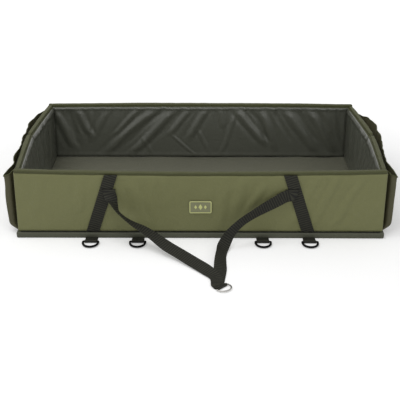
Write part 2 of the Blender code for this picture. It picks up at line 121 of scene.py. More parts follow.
class ClothSizes(bpy.types.PropertyGroup):
    cell: metres("Cloth cell", "Side of one face of the padded cloth", 0.0076, 0.005, 0.02)
    edge_radius: metres("Edge radius", "Rounding of the padding's edges", 0.0055, 0.002, 0.009)
    thickness: metres("Cloth thickness", "Thickness of all the cloth", 0.0011, 0.0005, 0.002)
    crown: metres("Wall crown", "How far the linings stand in over their foam", 0.0034, 0, 0.006)
    crease: metres("Crease height", "Height of the linings' long creases", 0.0056, 0, 0.006)
    pucker: metres("Seam pucker", "Height of the gathers along the seams", 0.0011, 0, 0.002)
    panel_wrinkle: metres("Panel wrinkle", "Depth of the outer panels' wrinkles", 0.0027, 0, 0.004)
    floor_crown: metres("Floor crown", "Rise of the floor pad to its middle", 0.0058, 0, 0.008)
    stitch_length: metres("Stitch length", "Length of one stitch", 0.0034, 0.002, 0.006)
    stitch_pitch: metres("Stitch pitch", "From one stitch to the next", 0.0048, 0.003, 0.01)
    thread: metres("Thread", "Diameter of the sewing thread", 0.0008, 0.0004, 0.0015)


class WebbingSizes(bpy.types.PropertyGroup):
    width: metres("Webbing width", "Width of the straps, handles and tabs", 0.037, 0.02, 0.05)
    thickness: metres("Webbing thickness", "Thickness of the straps", 0.0015, 0.001, 0.003)
    rib_pitch: metres("Rib pitch", "From one rib across the webbing to the next", 0.0073, 0.002, 0.012)
    rib_height: metres("Rib height", "Height of the ribs over their grooves", 0.0008, 0, 0.0012)
    rows_per_rib: IntProperty(
        name="Rows per rib", description="Rows of faces along a rib pitch", default=6, min=3, max=12
    )


class MatColours(bpy.types.PropertyGroup):
    panel: tint("Panel", "Outer cloth of the walls", (0.145, 0.149, 0.061))
    band: tint("Band", "Binding over the walls' top edges", (0.050, 0.053, 0.017))
    base: tint("Base", "Cloth round the base's edge", (0.064, 0.067, 0.045))
    pocket: tint("Pocket", "Cloth of the end pockets", (0.070, 0.066, 0.034))
    lining: tint("Lining", "Coated cloth inside the walls", (0.066, 0.069, 0.053))
    floor_pad: tint("Floor pad", "Coated cloth of the floor", (0.100, 0.100, 0.071))
    webbing: tint("Webbing", "Straps, handles and tabs", (0.029, 0.029, 0.020))
    # Near black: painted shade in the fold at each long wall's foot, on the cloth tucked there.
    fold_cloth_painted_shade: tint("Fold tape", "Tape in the folds at the walls' feet", (0.010, 0.010, 0.008))
    thread: tint("Thread", "Sewing thread", (0.060, 0.063, 0.032))
    ring: tint("D ring", "Lacquer of the D rings", (0.006, 0.006, 0.006))
    steel: tint("Handle ring", "Bright ring on each handle", (0.38, 0.37, 0.35))
    foam: tint("Foam", "Foam inside the base and walls", (0.30, 0.30, 0.29))
    badge: tint("Badge", "Ground of the badge", (0.200, 0.205, 0.110))
    badge_line: tint("Badge line", "Raised border and marks", (0.560, 0.580, 0.230))


class StageSizes(bpy.types.PropertyGroup):
    focal: FloatProperty(
        name="Focal length", description="In millimetres", default=77.67, min=20, max=200
    )
    camera_place: FloatVectorProperty(
        name="Camera",
        description="Where the camera stands",
        default=(-0.0042, -2.677, 1.150),
        size=3,
        subtype="TRANSLATION",
    )
    camera_turn: FloatVectorProperty(
        name="Camera turn",
        description="Tilt, roll and heading of the camera",
        default=(math.radians(66.40), math.radians(-0.15), 0),
        size=3,
        subtype="EULER",
    )
    key_power: strength("Key light", "Power of the large light above", 34)
    fill_power: strength("Fill light", "Power of the light at the front", 9)
    sky: strength("Sky", "Strength of the even light all round", 0.62)


def cloth_sizes():
    return bpy.context.scene.mat_cloth


def web_sizes():
    return bpy.context.scene.mat_webbing


# Falloffs
def near(distance, reach):
    """1 at no distance, falling smoothly to 0 at the reach."""
    t = max(0.0, 1 - abs(distance) / reach)
    return t * t * (3 - 2 * t)


def arch(share, power):
    """1 in the middle of a span from -1 to 1, falling to 0 at its ends."""
    return max(0.0, 1 - share * share) ** power


def wave(x, y, seed):
    """Smooth noise from about -1 to 1, the same on each run."""
    return noise.noise(Vector((x, y, seed)))


# Node groups
class Wiring:
    """Adds nodes to a tree in short calls. Each call but node gives its output socket."""

    def __init__(self, tree):
        self.tree = tree

    def node(self, kind, settings=None, **links):
        made = self.tree.nodes.new("ShaderNode" + kind)
        for name, value in (settings or {}).items():
            setattr(made, name, value)
        for name, value in links.items():
            self.feed(made.inputs[name.replace("_", " ")], value)
        return made

    def feed(self, socket, value):
        if isinstance(value, bpy.types.NodeSocket):
            self.tree.links.new(value, socket)
        else:
            socket.default_value = value

    def feed_all(self, made, *values):
        for socket, value in zip(made.inputs, values):
            self.feed(socket, value)
        return made.outputs[0]

    def math(self, operation, first, second=0.0, clamp=False):
        made = self.node("Math", {"operation": operation, "use_clamp": clamp})
        return self.feed_all(made, first, second)

    def plus(self, first, second):
        return self.math("ADD", first, second)

    def minus(self, first, second):
        return self.math("SUBTRACT", first, second)

    def times(self, first, second, clamp=False):
        return self.math("MULTIPLY", first, second, clamp)

    def mix(self, factor, first, second):
        made = self.node("Mix", {"data_type": "RGBA"})
        for number, value in ((0, factor), (6, first), (7, second)):
            self.feed(made.inputs[number], value)
        return made.outputs[2]

    def noise(self, place, scale, detail, **more):
        return self.node("TexNoise", Vector=place, Scale=scale, Detail=detail, **more).outputs["Fac"]

    def tone(self, colour, value):
        return self.node("HueSaturation", Color=colour, Value=value).outputs["Color"]

    def bump(self, height, strength, distance, **more):
        made = self.node("Bump", Strength=strength, Distance=distance, Height=height, **more)
        return made.outputs["Normal"]

    def place(self):
        return self.node("TexCoord").outputs["Object"]

    def cloth(self):
        return self.node("UVMap", {"uv_map": "cloth"}).outputs["UV"]

    def group(self, maker, **links):
        """The outputs of a shared group, which is built when it is first needed."""
        if maker not in GROUPS:
            GROUPS[maker] = maker()
        return self.node("Group", {"node_tree": GROUPS[maker]}, **links).outputs

    def aged(self, colour, variation, dust, roughness):
        values = {"Variation": variation, "Dust": dust, "Roughness": roughness}
        return self.group(ageing_group, Colour=(*colour, 1), **values)


GROUPS = {}


def new_group(name, inputs, outputs):
    """Wiring for a new group, the sockets that it is given and those that it puts out."""
    tree = bpy.data.node_groups.new(name, "ShaderNodeTree")
    for label, kind, default in inputs:
        socket = tree.interface.new_socket(label, in_out="INPUT", socket_type="NodeSocket" + kind)
        socket.default_value = default
    for label, kind in outputs:
        tree.interface.new_socket(label, in_out="OUTPUT", socket_type="NodeSocket" + kind)
    given = tree.nodes.new("NodeGroupInput").outputs
    return Wiring(tree), given, tree.nodes.new("NodeGroupOutput").inputs


def weave_group():
    """A plain weave: threads over and under each other, with uneven threads."""
    wire, given, result = new_group(
        "plain_weave",
        [
            ("Vector", "Vector", (0, 0, 0)),
            ("Threads per metre", "Float", 1200),
            ("Unevenness", "Float", 0.3),
        ],
        [("Height", "Float"), ("Shade", "Float")],
    )
    split = wire.node("SeparateXYZ", Vector=given["Vector"]).outputs
    turns = wire.times(given["Threads per metre"], math.pi)
    across, along = [wire.math("SINE", wire.times(split[axis], turns)) for axis in (0, 1)]
    cross = wire.times(across, along)
    uneven = wire.times(wire.noise(given["Vector"], 420.0, 2.0), given["Unevenness"])
    wire.feed(result["Height"], wire.plus(wire.times(cross, 0.5), uneven))
    wire.feed(result["Shade"], wire.plus(wire.times(cross, 0.08), wire.times(uneven, 0.3)))
    return wire.tree


def ageing_group():
    """Uneven dye, faint streaks and a little dust, as a colour and a roughness."""
    wire, given, result = new_group(
        "cloth_ageing",
        [
            ("Colour", "Color", (0.5, 0.5, 0.5, 1)),
            ("Variation", "Float", 0.2),
            ("Dust", "Float", 0.05),
            ("Roughness", "Float", 0.6),
        ],
        [("Colour", "Color"), ("Roughness", "Float")],
    )
    place = wire.place()
    broad = wire.times(wire.noise(place, 4.0, 3.0), 0.65)
    both = wire.plus(broad, wire.times(wire.noise(place, 45.0, 5.0), 0.35))
    swing = wire.times(wire.minus(both, 0.5), given["Variation"])
    toned = wire.tone(given["Colour"], wire.plus(wire.times(swing, 2.0), 1.0))
    raised = wire.times(wire.minus(wire.noise(place, 160.0, 8.0), 0.52), 4.0, clamp=True)
    dust = wire.times(raised, given["Dust"])
    wire.feed(result["Colour"], wire.mix(dust, toned, (0.35, 0.34, 0.30, 1)))
    wire.feed(result["Roughness"], wire.plus(given["Roughness"], wire.times(swing, 0.8)))
    return wire.tree


def creasing_group():
    """Small soft creases that the cloth keeps, too fine for the mesh."""
    inputs = [("Scale", "Float", 14.0), ("Depth", "Float", 1.0)]
    wire, given, result = new_group("small_creases", inputs, [("Height", "Float")])
    bent = wire.noise(wire.place(), given["Scale"], 4.0, Roughness=0.55, Distortion=0.8)
    fold = wire.math("ABSOLUTE", wire.minus(bent, 0.5))
    soft = wire.math("POWER", wire.times(fold, 2.0), 0.7)
    wire.feed(result["Height"], wire.times(soft, given["Depth"]))
    return wire.tree


# Materials
def new_material(name):
    made = bpy.data.materials.new(name)
    made.use_nodes = True
    return made, Wiring(made.node_tree)


def finish(made, colour, roughness, normal, **constants):
    """Links what changes over the surface, and sets what is the same all over on the
    shader's own sockets."""
    shader = made.node_tree.nodes["Principled BSDF"]
    for name, value in constants.items():
        shader.inputs[name.replace("_", " ")].default_value = value
    for name, value in (("Base Color", colour), ("Roughness", roughness), ("Normal", normal)):
        Wiring(made.node_tree).feed(shader.inputs[name], value)
    return made


def cloth_material(name, colour, roughness, sheen, weave_depth, crease_depth, threads, coat=0.0):
    """Woven cloth: weave, small creases, uneven dye and a soft sheen."""
    made, wire = new_material(name)
    weave = wire.group(weave_group, Vector=wire.cloth(), Threads_per_metre=threads)
    aged = wire.aged(colour, 0.10, 0.04, roughness)
    creases = wire.group(creasing_group, Scale=16.0, Depth=1.0)["Height"]
    soft = wire.bump(creases, 0.6, crease_depth)
    return finish(
        made,
        wire.tone(aged["Colour"], wire.plus(weave["Shade"], 1.0)),
        aged["Roughness"],
        wire.bump(weave["Height"], 0.7, weave_depth, Normal=soft),
        Sheen_Weight=sheen,
        Sheen_Roughness=0.45,
        Coat_Weight=coat,
        Coat_Roughness=0.33,
        Specular_IOR_Level=0.35,
    )


def webbing_material(name, colour):
    """Ribbed webbing: painted shade in the grooves between the ribs, and a fine twill on them."""
    made, wire = new_material(name)
    surface = wire.cloth()
    weave = wire.group(weave_group, Vector=surface, Threads_per_metre=1500.0, Unevenness=0.5)
    along = wire.node("SeparateXYZ", Vector=surface).outputs[1]
    turn = wire.times(along, math.pi / web_sizes().rib_pitch)
    groove = wire.math("POWER", wire.math("ABSOLUTE", wire.math("COSINE", turn)), 2.0)
    aged = wire.aged(colour, 0.12, 0.015, 0.66)
    # Painted shade: near black is mixed in where groove is high, between the ribs.
    dark = wire.mix(wire.times(groove, 0.92), aged["Colour"], (0.004, 0.004, 0.004, 1))
    woven = wire.tone(dark, wire.plus(wire.times(weave["Shade"], 2.0), 1.0))
    grain = wire.bump(weave["Height"], 0.8, 0.00025)
    return finish(made, woven, aged["Roughness"], grain, Specular_IOR_Level=0.2)


def metal_material(name, colour, roughness, metallic, specular):
    """Ring metal with fine scratches and slightly worn high spots."""
    made, wire = new_material(name)
    place = wire.place()
    swing = wire.times(wire.minus(wire.noise(place, 120.0, 3.0), 0.5), 0.25)
    toned = wire.tone((*colour, 1), wire.plus(wire.times(swing, 0.6), 1.0))
    marks = wire.bump(wire.noise(place, 900.0, 4.0, Roughness=0.7), 0.15, 0.0001)
    rough = wire.plus(swing, roughness)
    return finish(made, toned, rough, marks, Metallic=metallic, Specular_IOR_Level=specular)


def plain_material(name, colour, roughness, grain_scale, grain_depth):
    """Foam, thread and badge: a grain and a little unevenness."""
    made, wire = new_material(name)
    aged = wire.aged(colour, 0.15, 0.03, roughness)
    grain = wire.bump(wire.noise(wire.place(), grain_scale, 3.0), 0.5, grain_depth)
    return finish(made, aged["Colour"], aged["Roughness"], grain)


# Each finish has the colour of its own name, what makes its material, the material's
# name, and the values that the maker takes after the colour.
FINISHES = {
    "panel": (cloth_material, "panel_cloth", 0.60, 0.08, 0.00012, 0.0022, 1100.0),
    "band": (cloth_material, "band_cloth", 0.68, 0.0, 0.00012, 0.0014, 1100.0),
    "base": (cloth_material, "base_cloth", 0.68, 0.0, 0.00012, 0.0012, 1100.0),
    "pocket": (cloth_material, "pocket_cloth", 0.68, 0.0, 0.00012, 0.0014, 1100.0),
    "lining": (cloth_material, "lining_cloth", 0.40, 0.0, 0.00007, 0.0014, 1500.0, 0.55),
    "floor_pad": (cloth_material, "floor_pad_cloth", 0.50, 0.05, 0.00007, 0.0024, 1500.0, 0.15),
    # The fold cloth's near-black colour is painted shade in the fold.
    "fold_cloth_painted_shade": (cloth_material, "fold_sheet_painted_shade", 0.8, 0.0, 0.00012, 0.0006, 1100.0),
    "webbing": (webbing_material, "webbing"),
    "ring": (metal_material, "black_lacquer", 0.46, 0.0, 0.06),
    "steel": (metal_material, "bright_steel", 0.24, 1.0, 0.5),
    "thread": (plain_material, "thread", 0.6, 900.0, 0.0001),
    "foam": (plain_material, "foam", 0.9, 350.0, 0.0004),
    "badge": (plain_material, "badge_ground", 0.5, 700.0, 0.0001),
    "badge_line": (plain_material, "badge_line", 0.45, 700.0, 0.0001),
}
MATERIALS = {}


def material(name):
    """Each of the mat's materials is made when a piece first needs it."""
    if name not in MATERIALS:
        maker, label, *values = FINISHES[name]
        MATERIALS[name] = maker(label, getattr(bpy.context.scene.mat_colours, name), *values)
    return MATERIALS[name]


# Mesh tools
def map_cloth(bm):
    """The cloth's own map, in metres, laid flat on each face's widest view."""
    layer = bm.loops.layers.uv.new("cloth")
    for face in bm.faces:
        way = [abs(value) for value in face.normal]
        first, second = [(1, 2), (0, 2), (0, 1)][way.index(max(way))]
        for loop in face.loops:
            loop[layer].uv = (loop.vert.co[first], loop.vert.co[second])


def add_object(name, data):
    made = bpy.data.objects.new(name, data)
    bpy.context.scene.collection.objects.link(made)
    return made


def add_piece(name, bm, finish, place=None, smooth=True):
    """A mesh object at the origin, with its place in its mesh."""
    if place is not None:
        bmesh.ops.transform(bm, matrix=place, verts=bm.verts)
    mesh = bpy.data.meshes.new(name)
    bm.to_mesh(mesh)
    bm.free()
    if smooth:
        mesh.shade_smooth()
    mesh.materials.append(material(finish))
    return add_object(name, mesh)


def thicken(piece, thickness, centred=False):
    solidify = piece.modifiers.new("cloth", "SOLIDIFY")
    solidify.thickness = thickness
    solidify.offset = 0 if centred else -1
    return piece


def dress(piece, body, slot, *nodes):
    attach(piece, body)
    if nodes:
        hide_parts(*nodes)
    return piece


def steps_between(low, high, step):
    count = max(1, round((high - low) / step))
    return [low + (high - low) * i / count for i in range(count + 1)]


def round_edges(bm, edges, radius, segments):
    bmesh.ops.bevel(
        bm, geom=edges, offset=radius, segments=segments, profile=0.5, affect="EDGES", material=-1
    )


def slice_mesh(bm, place, way, clear=False):
    """Cuts the mesh at a plane; clear takes away what lies beyond it."""
    geometry = [*bm.verts, *bm.edges, *bm.faces]
    bmesh.ops.bisect_plane(bm, geom=geometry, plane_co=place, plane_no=way, clear_outer=clear)


def soft_block(low, high, radius, cuts):
    """A closed block with round edges, cut at the places given for X, Y and Z."""
    bm = bmesh.new()
    low, high = Vector(low), Vector(high)
    place = Matrix.Translation((low + high) / 2) @ Matrix.Diagonal((*(high - low), 1))
    bmesh.ops.create_cube(bm, size=1, matrix=place)
    round_edges(bm, list(bm.edges), radius, 3)
    for axis, places in enumerate(cuts):
        way = Vector((0, 0, 0))
        way[axis] = 1
        for spot in places:
            slice_mesh(bm, way * spot, way)
    bm.normal_update()
    return bm


def grid(columns, rows):
    """A flat grid from -1 to 1, and each of its points with its column and row."""
    bm = bmesh.new()
    bmesh.ops.create_grid(bm, x_segments=columns, y_segments=rows, size=1)
    points = []
    for vert in bm.verts:
        x, y = (vert.co.x + 1) / 2, (vert.co.y + 1) / 2
        points.append((vert, round(x * columns), round(y * rows)))
    return bm, points


def push(bm, depth):
    """Moves each point along its normal by what depth gives for its place."""
    bm.normal_update()
    moves = [(vert, vert.normal * depth(vert.co, vert.normal)) for vert in bm.verts]
    for vert, move in moves:
        vert.co += move


def sort_faces(bm, kind_of):
    """The numbers of the mesh's faces, as a set for each kind."""
    bm.faces.index_update()
    kinds = {}
    for face in bm.faces:
        kinds.setdefault(kind_of(face.calc_center_median()), set()).add(face.index)
    return kinds


def padded_cloth(name, block, kept, finish, side, slot, node):
    """One piece of padded cloth: the faces of the block whose numbers are kept."""
    cut = block.copy()
    cut.faces.index_update()
    lost = [face for face in cut.faces if face.index not in kept]
    bmesh.ops.delete(cut, geom=lost, context="FACES")
    map_cloth(cut)
    piece = add_piece(name, cut, finish, side_place(side))
    thicken(piece, cloth_sizes().thickness)
    dress(piece, side_body(side), slot, node)
    soften_on_fold(piece, side)


def foam_slab(side, low, high, radius, cuts):
    """The foam inside the cloth, which it touches nowhere."""
    core = soft_block(low, high, radius, cuts)
    if side in TURNS:
        lean_out(core, side)
    map_cloth(core)
    piece = add_piece(side + "_foam_slab", core, "foam", side_place(side))
    dress(piece, side_body(side), "foam", side + "_foam")
    soften_on_fold(piece, side)


def tube(name, points, radii, finish, closed=False, sides=8):
    """A round wire along the points, with the radius that it has at each of them."""
    bm = bmesh.new()
    last = len(points) - 1
    if closed:
        before, after = [points[-1], *points[:-1]], [*points[1:], points[0]]
    else:
        before, after = [points[0], *points[:-1]], [*points[1:], points[last]]
    tangents = [(there - here).normalized() for here, there in zip(before, after)]
    up = Vector((0, 1, 0) if abs(tangents[0].z) > 0.9 else (0, 0, 1))
    side = tangents[0].cross(up).normalized()
    loops = []
    for point, ahead, radius in zip(points, tangents, radii):
        side = (side - ahead * side.dot(ahead)).normalized()
        facing = Matrix((side, ahead.cross(side), ahead)).transposed().to_4x4()
        place = Matrix.Translation(point) @ facing
        ring = bmesh.ops.create_circle(bm, segments=sides, radius=radius, matrix=place)
        loops.append(ring["verts"])
    for pair in zip(loops, loops[1:] + loops[:1] if closed else loops[1:]):
        edges = {}
        for ring in pair:
            for vert in ring:
                found = [edge for edge in vert.link_edges if edge.other_vert(vert) in ring]
                edges.update(dict.fromkeys(found))
        bmesh.ops.bridge_loops(bm, edges=list(edges))
    if not closed:
        for ring in (loops[0], loops[-1]):
            bmesh.ops.contextual_create(bm, geom=ring)
    bmesh.ops.recalc_face_normals(bm, faces=bm.faces)
    map_cloth(bm)
    return add_piece(name, bm, finish)


def stitches(name, rows, body, slot):
    """Rows of stitches; each stitch is a spot and the way that it runs."""
    sizes = cloth_sizes()
    size = Matrix.Diagonal((sizes.stitch_length, sizes.thread, sizes.thread * 0.8, 1))
    pattern = bmesh.new()
    bmesh.ops.create_uvsphere(pattern, u_segments=6, v_segments=4, radius=0.5, matrix=size)
    bm = bmesh.new()
    loose = bpy.data.meshes.new("stitch")
    for spot, ahead, out in rows:
        side = ahead.cross(out).normalized()
        facing = Matrix((ahead, side, side.cross(ahead))).transposed().to_4x4()
        pattern.to_mesh(loose)
        loose.transform(Matrix.Translation(spot) @ facing)
        bm.from_mesh(loose)
    pattern.free()
    bpy.data.meshes.remove(loose)
    bm.normal_update()
    map_cloth(bm)
    return dress(add_piece(name, bm, "thread"), body, slot)


def stitch_row(start, end, out):
    """Stitches evenly spaced from start to end."""
    sizes = cloth_sizes()
    ahead = (end - start).normalized()
    count = max(1, int((end - start).length / sizes.stitch_pitch))
    gap = (end - start) / count
    return [(start + gap * (i + 0.5), ahead, out) for i in range(count)]


# Walls
WALL_SKIN = 0.0066
FOAM_MARGIN = 0.006
FOAM_CELL = 0.04
# What each kind of a wall's cloth replaces, and its slot
WALL_CLOTHS = {
    "lining": ("lining", "lining_cloth"),
    "panel": ("cover", "cover_cloth"),
    "band": ("band", "band_cloth"),
}


def side_place(side):
    """A wall's own frame: X along it, +Y inward and Z up from its foot. The base has
    the mat's frame."""
    if side not in TURNS:
        return None
    out = MAT_DEPTH / 2 if side in LONG_SIDES else MAT_LENGTH / 2
    turn = Matrix.Rotation(TURNS[side], 4, "Z")
    return turn @ Matrix.Translation((0, -out, WALL_FOOT))


def side_body(side):
    return side + "_wall" if side in LONG_SIDES else "base"


def wall_length(side):
    return MAT_LENGTH if side in LONG_SIDES else END_LENGTH


def lean(side, x, z):
    """How far out a wall stands: nothing at its foot and ends, most at its top."""
    bow, power = (LONG_BOW, 2) if side in LONG_SIDES else (END_BOW, 1.25)
    share = min(1.0, abs(x) / wall_length(side) * 2)
    return bow * z / WALL_HEIGHT * (1 - share**power)


def lean_out(bm, side):
    for vert in bm.verts:
        vert.co.y -= lean(side, vert.co.x, vert.co.z)


def soften_on_fold(piece, side):
    """Gives each piece of an end wall its own copy of its mesh."""
    if side in END_SIDES:
        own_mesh(piece)


# Long creases of the wall linings: the place along the wall at the upper seam and at
# the foot, as shares of the half length, where the crease starts and ends as shares of
# the height, its width as a share of the wall's height, and its share of the height.
LONG_CREASE_SHARES = [
    (-0.956, -0.828, 0.97, 0.15, 0.105, 0.9),
    (-0.88, -0.77, 0.97, 0.40, 0.075, -0.5),
    (-0.815, -0.663, 0.97, 0.42, 0.090, 0.8),
    (-0.72, -0.74, 0.97, 0.30, 0.060, 0.3),
    (-0.60, -0.78, 0.96, 0.30, 0.090, 0.5),
    (-0.4, -0.7, 0.97, 0.42, 0.083, 0.6),
    (-0.3, -0.658, 0.98, 0.05, 0.128, 1.0),
    (-0.23, -0.58, 0.96, 0.20, 0.075, -0.5),
    (-0.149, -0.498, 0.98, 0.03, 0.128, 1.0),
    (-0.06, -0.32, 0.97, 0.45, 0.083, 0.6),
    (0.04, -0.14, 0.98, 0.35, 0.090, 0.7),
    (0.14, 0.16, 0.97, 0.58, 0.075, 0.5),
    (0.234, 0.49, 0.98, 0.22, 0.112, 1.0),
    (0.315, 0.515, 0.96, 0.35, 0.068, -0.5),
    (0.397, 0.539, 0.97, 0.10, 0.090, 0.8),
    (0.47, 0.67, 0.96, 0.30, 0.068, -0.4),
    (0.547, 0.8, 0.98, 0.05, 0.120, 1.0),
    (0.625, 0.86, 0.96, 0.30, 0.068, -0.5),
    (0.702, 0.907, 0.97, 0.05, 0.112, 1.0),
    (0.8, 0.93, 0.96, 0.45, 0.075, 0.5),
    (0.9, 0.96, 0.95, 0.30, 0.075, -0.4),
    (-0.40, -0.01, 0.46, 0.02, 0.055, 0.4),
    (-0.08, 0.07, 0.60, 0.03, 0.055, 0.4),
    (0.25, 0.123, 0.85, 0.05, 0.060, 0.45),
    (-0.52, -0.30, 0.40, 0.03, 0.055, 0.3),
]
END_CREASE_SHARES = [
    (-0.78, -0.66, 0.97, 0.10, 0.100, 0.6),
    (-0.50, -0.42, 0.97, 0.25, 0.090, 0.6),
    (-0.25, -0.12, 0.97, 0.15, 0.090, 0.8),
    (0.24, 0.14, 0.97, 0.15, 0.090, 0.8),
    (0.47, 0.40, 0.96, 0.30, 0.090, 0.6),
    (0.76, 0.62, 0.97, 0.15, 0.100, 0.6),
]
# Faint slanting wrinkles of the outer panels, in the same form.
PANEL_CREASE_SHARES = [
    (-0.86, -0.90, 0.95, 0.30, 0.10, 0.5),
    (-0.64, -0.66, 0.97, 0.30, 0.09, 0.8),
    (-0.38, -0.30, 0.90, 0.20, 0.12, 0.8),
    (-0.28, -0.24, 0.97, 0.25, 0.10, 0.6),
    (-0.17, -0.20, 0.97, 0.10, 0.10, 0.7),
    (0.13, 0.10, 0.97, 0.10, 0.10, 0.6),
    (0.24, 0.16, 0.97, 0.20, 0.10, 0.9),
    (0.36, 0.20, 0.90, 0.10, 0.09, 0.9),
    (0.62, 0.50, 0.97, 0.20, 0.09, 1.3),
    (0.74, 0.58, 0.97, 0.12, 0.08, 1.5),
    (0.88, 0.70, 0.90, 0.10, 0.08, 1.3),
]


def crease_height(x, z, half, shares):
    """Sum of the creases at a place on a wall: a ridge with hollows beside it."""
    total = 0.0
    for top, foot, start, end, width, height in shares:
        share = z / SEAM_HEIGHT
        middle = (foot + (top - foot) * share) * half
        sway = 0.010 * wave(share * 2.1, top * 9, 3.1)
        off = (x - middle - sway) / (width * WALL_HEIGHT)
        if abs(off) > 2.2:
            continue
        along = min(1.0, 2.4 * near((start + end) / 2 - share, (start - end) / 2 * 1.2))
        ridge = math.exp(-off * off * 2) - 0.45 * math.exp(-((abs(off) - 1.1) ** 2) * 5)
        total += height * ridge * along
    return total


def lining_depth(side, sizes):
    half = wall_length(side) / 2
    shares = LONG_CREASE_SHARES if side in LONG_SIDES else END_CREASE_SHARES
    seed = TURNS[side] + 5
    view = -1 if side == "back" else 1
    corner = half - WALL_THICKNESS if side in LONG_SIDES else half
    roll, roll_reach = (0.0020, 0.0065) if side in LONG_SIDES else (0.0042, 0.0120)
    pucker = sizes.pucker * (2.1 if side in LONG_SIDES else 0.35)
    ruffle = 0.9 if side in LONG_SIDES else 0.35

    def depth(place, normal):
        inner = near(normal.y - 1, 0.6)
        z_share = place.z / SEAM_HEIGHT * 2 - 1
        swell = arch(place.x / half, 0.45) * arch(z_share, 0.5)
        gather = wave(place.x * 58, place.z * 9, seed) + 0.6 * wave(place.x * 120, 0, seed)
        rise = sizes.crown * swell
        creases = crease_height(view * place.x, place.z, half, shares)
        rise += sizes.crease * creases * arch(z_share, 0.35)
        seam = near(SEAM_HEIGHT - place.z, 0.050) + 0.6 * near(place.z, 0.04)
        rise += pucker * gather * seam
        rise += roll * near(SEAM_HEIGHT - roll_reach - place.z, roll_reach) * (1 + ruffle * gather)
        rise += 0.0014 * near(place.z - 0.010, 0.010)
        rise += 0.0010 * wave(place.x * 9, place.z * 7, seed + 2)
        if side in END_SIDES:
            rise -= 0.0060 * near(place.x, 0.013) * arch(z_share, 0.15)
        rise -= 0.0035 * near(abs(place.x) - corner, 0.007)
        edge = min(1.0, (half - abs(place.x)) / 0.006, (SEAM_HEIGHT - place.z) / 0.004)
        return rise * inner * max(0.0, edge)

    return depth


def panel_depth(side, sizes):
    half = wall_length(side) / 2
    seed = TURNS[side] + 11

    def depth(place, normal):
        outer = near(normal.y + 1, 0.6)
        x, z = place.x, place.z
        dip = 0.6 + 0.6 * wave(x * 13, z * 2.2, seed)
        dip += 0.45 * wave(x * 26 - z * 20, z * 5 + x * 4, seed)
        dip += 0.14 * wave(x * 75, z * 12, seed + 1) * near(SEAM_HEIGHT - z, 0.06)
        dip -= 0.9 * crease_height(x, z, half, PANEL_CREASE_SHARES)
        pinch = near(SEAM_HEIGHT - z, 0.007)
        fall = sizes.panel_wrinkle * max(0.0, dip) + 0.0014 * pinch
        return -fall * outer

    return depth


def band_depth(side):
    seed = TURNS[side] + 17

    def depth(place, normal):
        pinch = near(place.z - SEAM_HEIGHT, 0.004)
        sag = 0.0009 * (1 + wave(place.x * 7, place.y * 30, seed))
        sag += 0.0005 * (1 + wave(place.x * 40, place.z * 60, seed + 1))
        if side in END_SIDES:
            sag += 0.0045 * near(place.x, 0.016)
            sag += 0.0016 * (1 + wave(place.x * 16, place.y * 20, seed + 2))
        return -sag - 0.0010 * pinch

    return depth


def settle(bm, side):
    """The outer foot curves in to the fold, and the front's top sinks in its middle."""
    half = wall_length(side) / 2
    for vert in bm.verts:
        outer = near(vert.co.y, WALL_THICKNESS * 0.6)
        vert.co.y += 0.0034 * near(vert.co.z, 0.0080) ** 1.5 * outer
        if side == "front":
            high = near(WALL_HEIGHT - vert.co.z, 0.035)
            vert.co.z -= 0.0036 * high * arch(vert.co.x / half, 0.8)


def make_wall(side):
    """Panel, foam, lining and edge band of one wall."""
    sizes = cloth_sizes()
    half = wall_length(side) / 2
    radius = sizes.edge_radius
    middle = WALL_THICKNESS / 2
    cuts = [
        steps_between(-half + radius, half - radius, sizes.cell)[1:-1],
        [middle],
        steps_between(radius, SEAM_HEIGHT, sizes.cell)[1:] + [SEAM_HEIGHT + 0.003],
    ]
    block = soft_block((-half, 0, 0), (half, WALL_THICKNESS, WALL_HEIGHT), radius, cuts)
    bmesh.ops.subdivide_edges(block, edges=list(block.edges), cuts=1, use_grid_fill=True)

    def kind_of(centre):
        at_end = side in LONG_SIDES and abs(centre.x) > half - radius * 0.6
        if centre.z > SEAM_HEIGHT:
            return "band"
        return "lining" if centre.y > middle and not at_end else "panel"

    kinds = sort_faces(block, kind_of)
    depths = (lining_depth(side, sizes), panel_depth(side, sizes), band_depth(side))

    def depth(place, normal):
        if place.z > SEAM_HEIGHT + 0.0001:
            return depths[2](place, normal)
        return depths[0 if place.y > middle else 1](place, normal)

    push(block, depth)
    settle(block, side)
    lean_out(block, side)
    for kind, (node, slot) in WALL_CLOTHS.items():
        padded_cloth(f"{side}_{kind}", block, kinds[kind], kind, side, slot, f"{side}_{node}")
    block.free()
    low = (-half + WALL_SKIN, WALL_SKIN, WALL_SKIN + FOAM_MARGIN)
    high = (half - WALL_SKIN, WALL_THICKNESS - WALL_SKIN, WALL_HEIGHT - WALL_SKIN - FOAM_MARGIN)
    end = half - FOAM_CELL / 2
    cuts = [steps_between(-end, end, FOAM_CELL), [], [WALL_HEIGHT / 2]]
    foam_slab(side, low, high, 0.0025, cuts)


# Base and fold tapes
FOLD_GAP = 0.0003
BASE_SEAM_DROP = 0.0035
BASE_RADIUS = 0.0048
BASE_SKIN = 0.0025
PAD_MARGIN = 0.003
FOLD_TAPE_DEPTH = 0.0062
FOLD_TAPE_END = 0.008
FOLD_TAPE_CELLS = 60
# How far out from the wall's outer face the tape lies and how far up from its foot, as
# shares of the tape's depth in the fold.
FOLD_TAPE_SHARES = [
    (0.20, 0.02),
    (-0.35, 0.02),
    (-0.85, 0.08),
    (-1.00, 0.35),
    (-0.95, 0.68),
    (-0.60, 0.92),
]


